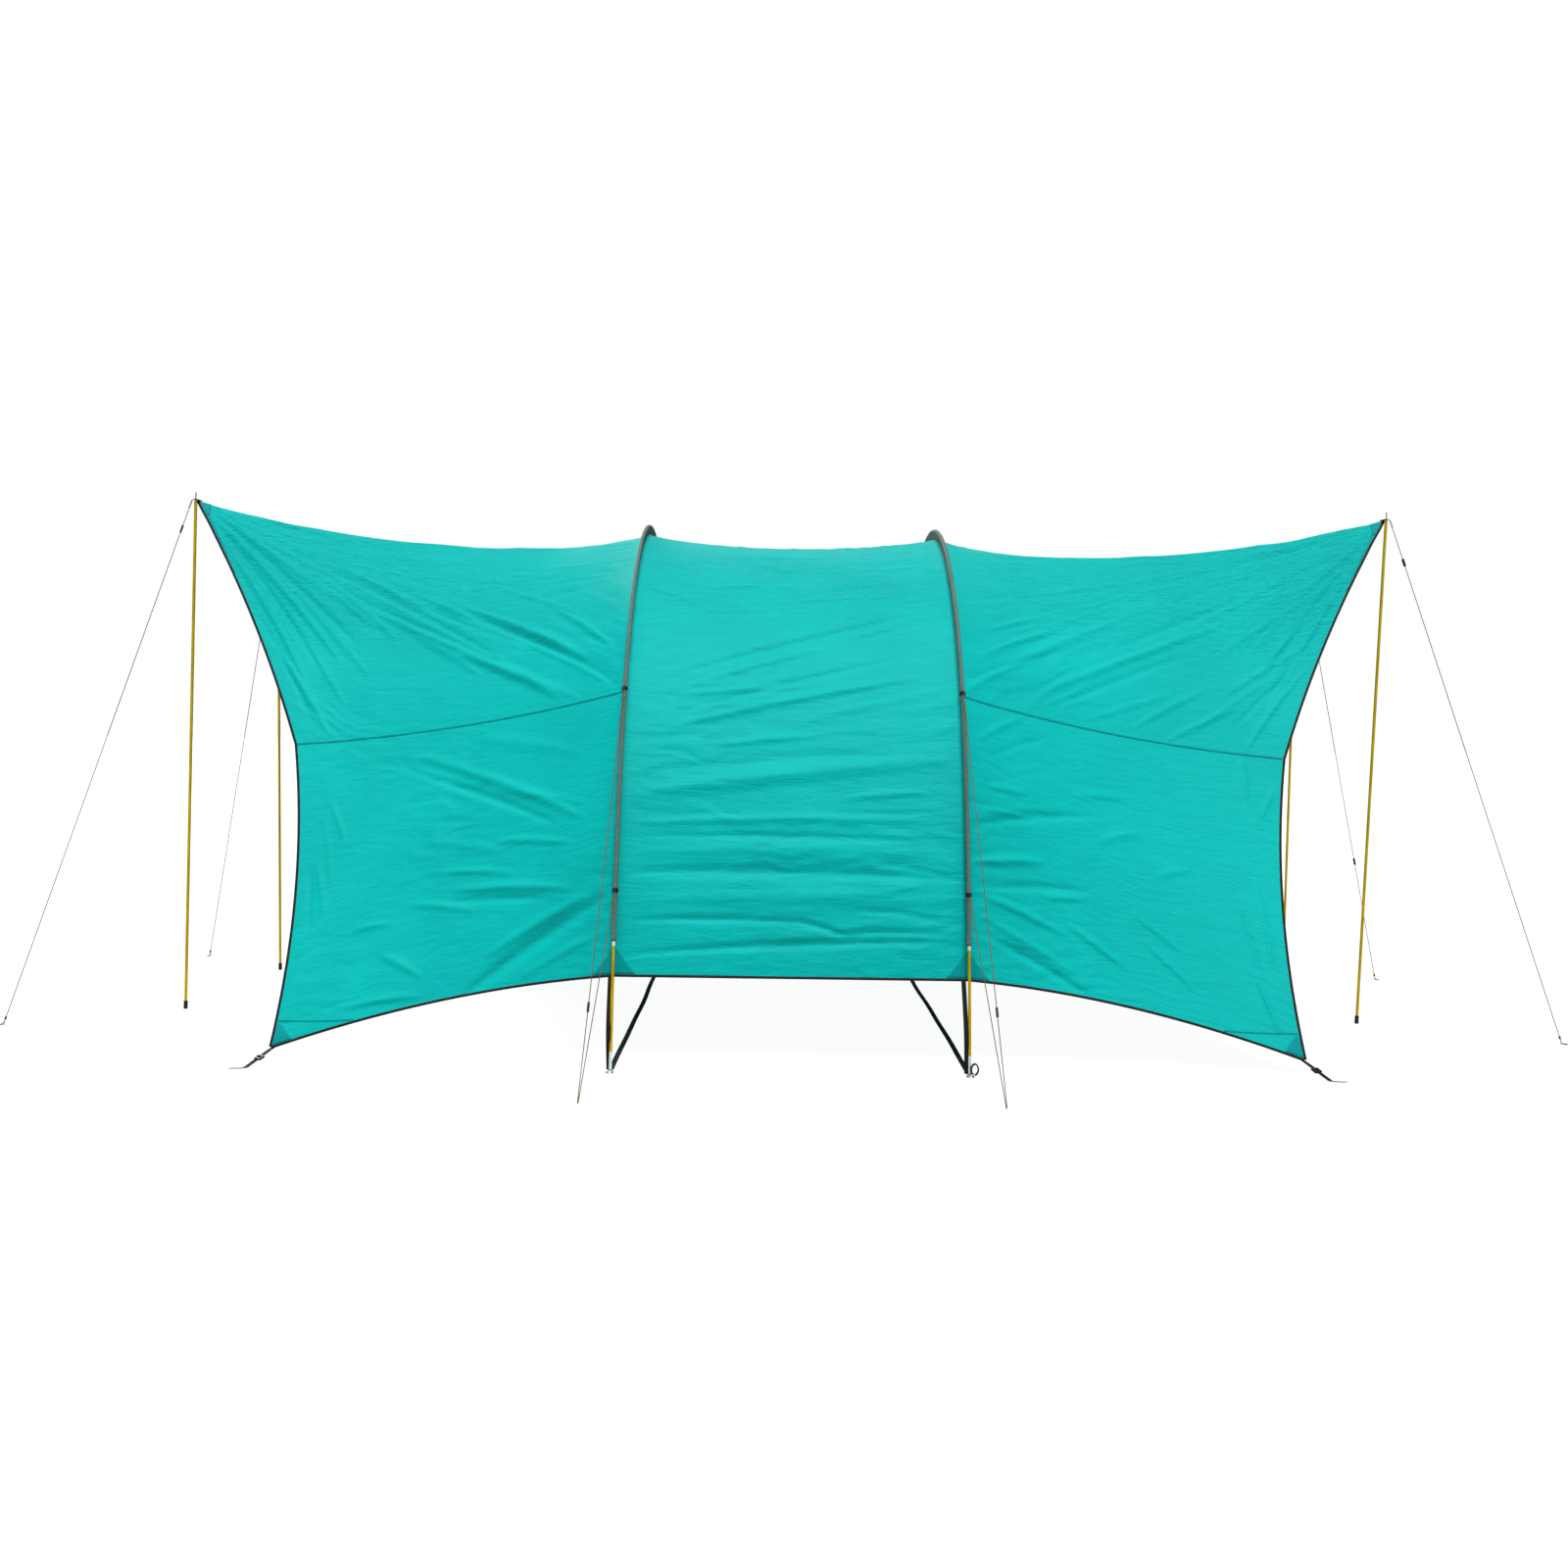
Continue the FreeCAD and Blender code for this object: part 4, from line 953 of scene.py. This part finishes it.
def straps():
    foot_y = -ARCH_JOINTS[-1, 0]
    up = (0, 0, 1)
    runs = []
    for x in (-ARCH_X, ARCH_X):
        y = np.linspace(foot_y + 0.008, -foot_y - 0.008, 160)
        sway = 0.004 * np.sin(y * 2.1 + x) + 0.0015 * np.sin(y * 7.3)
        rise = sum(0.0035 * np.exp(-(foot_y + 0.008 + end) ** 2 / 0.0006) for end in (-y, y))
        line = stack(x + sway * np.sin(np.pi * (y - foot_y) / (2 * foot_y)), y, 0.0009 + rise)
        runs.append((line, up, *GROUND_STRAP))
    ribbons("ground_webbing", runs, GREEN_WEBBING, "green_webbing", ["ground_straps"])
    runs = []
    hem, _ = arch_fabric(np.array(0))
    for quarter in QUARTERS:
        shift = 0.012 if "left" in quarter else -0.016
        line = curved([to_quarter((ARCH_X + shift, hem[1] + 0.0012, hem[2] - 0.004), quarter),
                       to_quarter((ARCH_X + shift * 0.8, -1.608, 0.15), quarter),
                       to_quarter((ARCH_X + shift * 0.55, foot_y + 0.015, 0.004), quarter)], 14)
        runs.append((line, (0, 1 if "far" in quarter else -1, 0), *HEM_STRAP))
    # the short loop beside the near right foot
    turn = np.linspace(-0.5 * math.pi, 1.4 * math.pi, 30)
    ring = stack(np.cos(turn), 0 * turn, np.sin(turn))
    loop = np.array((ARCH_X + 0.017, foot_y - 0.004, 0.0235)) + ring * (0.012, 1, 0.019)
    runs.append((loop, ring, *FOOT_LOOP))
    ribbons("hem_webbing", runs, BLACK_WEBBING, "black_webbing", ["hem_straps"])
    runs = []
    for quarter in QUARTERS:
        route = [(1.812, -1.512, 0.0595), (1.836, -1.54, 0.043), (1.859, -1.584, 0.0242),
                 (1.882, -1.628, 0.0055), (1.89, -1.64, 0.0012), (1.912, -1.65, 0.001),
                 (1.94, -1.652, 0.001)]
        line = curved([to_quarter(point, quarter) for point in route], 8)
        width = np.interp(np.linspace(0, 1, len(line)), (0, 0.62, 0.74, 1), (0.0198, 0.0198, 0.01, 0.008))
        runs.append((line, up, width, 0.0014))
    ribbons("corner_webbing", runs, BLACK_WEBBING, "black_webbing", ["corner_straps"])


straps()


def tongue(centre, back, length):
    """Webbing tongue with a round hole at its centre, reaching back to the cloth."""
    count, thickness, hole, radius = 40, 0.0024, 0.0088, 0.0125
    back = unit(np.array(back, float))
    side = unit(np.cross((0, 0, 1), back))
    up = np.cross(back, side)
    ring = circle(count)
    outline = ring * radius
    behind = ring[:, 0] > 0.02
    outline[behind, 0] = np.where(np.abs(ring[behind, 1]) > 0.62, length * 0.5, length)
    outline[behind, 1] = np.sign(ring[behind, 1]) * np.minimum(np.abs(outline[behind, 1]) * 1.6, radius)
    points, faces, cloth = [], [], []
    for flat in (ring * hole, outline):
        for level in (thickness / 2, -thickness / 2):
            points.append(np.array(centre) + back * flat[:, :1] + side * flat[:, 1:] + up * level)
            cloth.append(stack(flat[:, 0], flat[:, 1], 0))
    loops = [i * count for i in (0, 2, 3, 1)]
    for a, b in zip(loops, loops[1:] + loops[:1]):
        faces += [(a + i, a + (i + 1) % count, b + (i + 1) % count, b + i) for i in range(count)]
    return np.concatenate(points), faces, np.concatenate(cloth)


def corner_pieces():
    parts, runs = [], []
    for quarter in QUARTERS:
        corner = to_quarter(TOP_CORNER, quarter)
        head = eyelet(quarter)
        parts.append(tongue(head, corner - head, (corner - head).length + 0.022))
        anchor, down = map(np.array, GUY_TOPS[quarter])
        _, over = beside(down)
        turn = np.linspace(0, 2 * math.pi, 40)[:-1]
        centre = anchor + down * GUY_LOOP_LENGTH / 2
        line = centre + down * (np.cos(turn) * (GUY_LOOP_LENGTH / 2 - 0.001))[:, None] \
            + over * (np.sin(turn) * 0.0022)[:, None]
        normals = unit(down * (np.cos(turn) * 0.1)[:, None] + over * np.sin(turn)[:, None])
        runs.append((line, normals, *GUY_LOOP))
    piece("pole_corner_tabs", *joined(parts), BLACK_WEBBING, "black_webbing", replaced=["corner_tabs"],
          smooth=False)
    ribbons("guy_loops", runs, BLACK_WEBBING, "black_webbing", ["wing_guy_loops"])


corner_pieces()


# pole feet

def lathe(start, along, profile):
    """Points and faces of a turned piece: profile is (distance along, radius) pairs from the start."""
    along = unit(np.array(along))
    side = unit(np.cross(along, (0.3, 0.9, 0.1)))
    distances, radii = np.array(profile).T
    centres = np.array(start) + along * distances[:, None]
    return sweep(centres, side, np.cross(along, side), circle(36) * radii[:, None, None])


def pole_feet():
    for quarter in QUARTERS:
        head = eyelet(quarter)
        inward = 1 if "left" in quarter else -1
        lean = -0.052 + 0.016 * inward if "near" in quarter else 0.02 * inward
        foot = Vector((head.x + lean, head.y, 0))
        up = (head - foot).normalized()
        bottom = foot + up * (0.0085 * math.hypot(up.x, up.y) / up.z)
        ribs = [(0.011 + 0.0045 * i + step, radius) for i in range(4)
                for step, radius in ((0, 0.0084), (0.0004, 0.0078), (0.0016, 0.0078), (0.002, 0.0084))]
        profile = [(0, 0.003), (0.0002, 0.0072), (0.0014, 0.0084), (0.01, 0.0084), *ribs,
                   (0.0318, 0.0084), (0.0332, 0.0078), (0.0338, 0.0063), (0.0338, 0.0061)]
        piece("foot_cap_" + quarter, *lathe(bottom, up, profile), None, RUBBER, "rubber",
              "pole_body_" + quarter, ["pole_foot_" + quarter])


pole_feet()


# CAD pieces that keep their shape

CAD_LOOKS = {"pole_spike_": STEEL, "pole_": GOLD, "arch_pole_": GOLD, "arch_ferrules": SILVER,
             "arch_tips": BARE_TIP, "arch_shock_cords": ELASTIC, "foot_pins": STEEL, "foot_rings": STEEL,
             "eyelets": STEEL, "corner_buckle_": PLASTIC, "arch_slider_": PLASTIC, "wing_slider_": PLASTIC,
             "arch_guy_tabs": BLACK_WEBBING}


def dress_cad_pieces():
    for name, shown in nodes.items():
        if shown.hide_render:
            continue
        matches = [prefix for prefix in CAD_LOOKS if name.startswith(prefix)]
        for slot in shown.material_slots:
            slot.material = CAD_LOOKS[max(matches, key=len)]


dress_cad_pieces()


# floor, light and surroundings

AMBIENT = 0.45                # light from the sky on the object; the sky itself is seen white
SUN_SOFTNESS = 15             # degrees across


def surroundings():
    bpy.ops.mesh.primitive_plane_add(size=400, location=(0, 0, -0.0015))
    floor = bpy.context.object
    floor.name = "floor"
    look = Look("floor")
    place = look.inside_object()
    colour = look.mix(look.noise(place, 0.8, 4), shade(60, 60, 60), shade(66, 66, 66))
    floor.data.materials.append(look.set(Base_Color=colour, Roughness=0.9, Specular_IOR_Level=0.1,
                                         Emission_Color=shade(255, 255, 255), Emission_Strength=0.95))
    world = bpy.data.worlds.new("studio")
    world.use_nodes = True
    tree = world.node_tree
    background = tree.nodes["Background"]
    background.inputs["Color"].default_value = (1, 1, 1, 1)
    sight = tree.nodes.new("ShaderNodeLightPath")
    strength = tree.nodes.new("ShaderNodeMapRange")
    strength.inputs["To Min"].default_value = AMBIENT
    tree.links.new(sight.outputs["Is Camera Ray"], strength.inputs["Value"])
    tree.links.new(strength.outputs["Result"], background.inputs["Strength"])
    bpy.context.scene.world = world
    bpy.context.scene.view_settings.view_transform = "Standard"
    lamps = (("key", (0.8, -3.4, 5.6), 4.4), ("top", (-0.6, -0.8, 7), 3.4), ("back", (-3, 5, 4), 2.6))
    for name, location, strength in lamps:
        data = bpy.data.lights.new(name, "SUN")
        data.angle = math.radians(SUN_SOFTNESS)
        data.energy = strength
        light = add_object(name, data)
        light.location = location
        light.rotation_euler = (Vector((0, 0, 1)) - light.location).to_track_quat("-Z", "Y").to_euler()


surroundings()
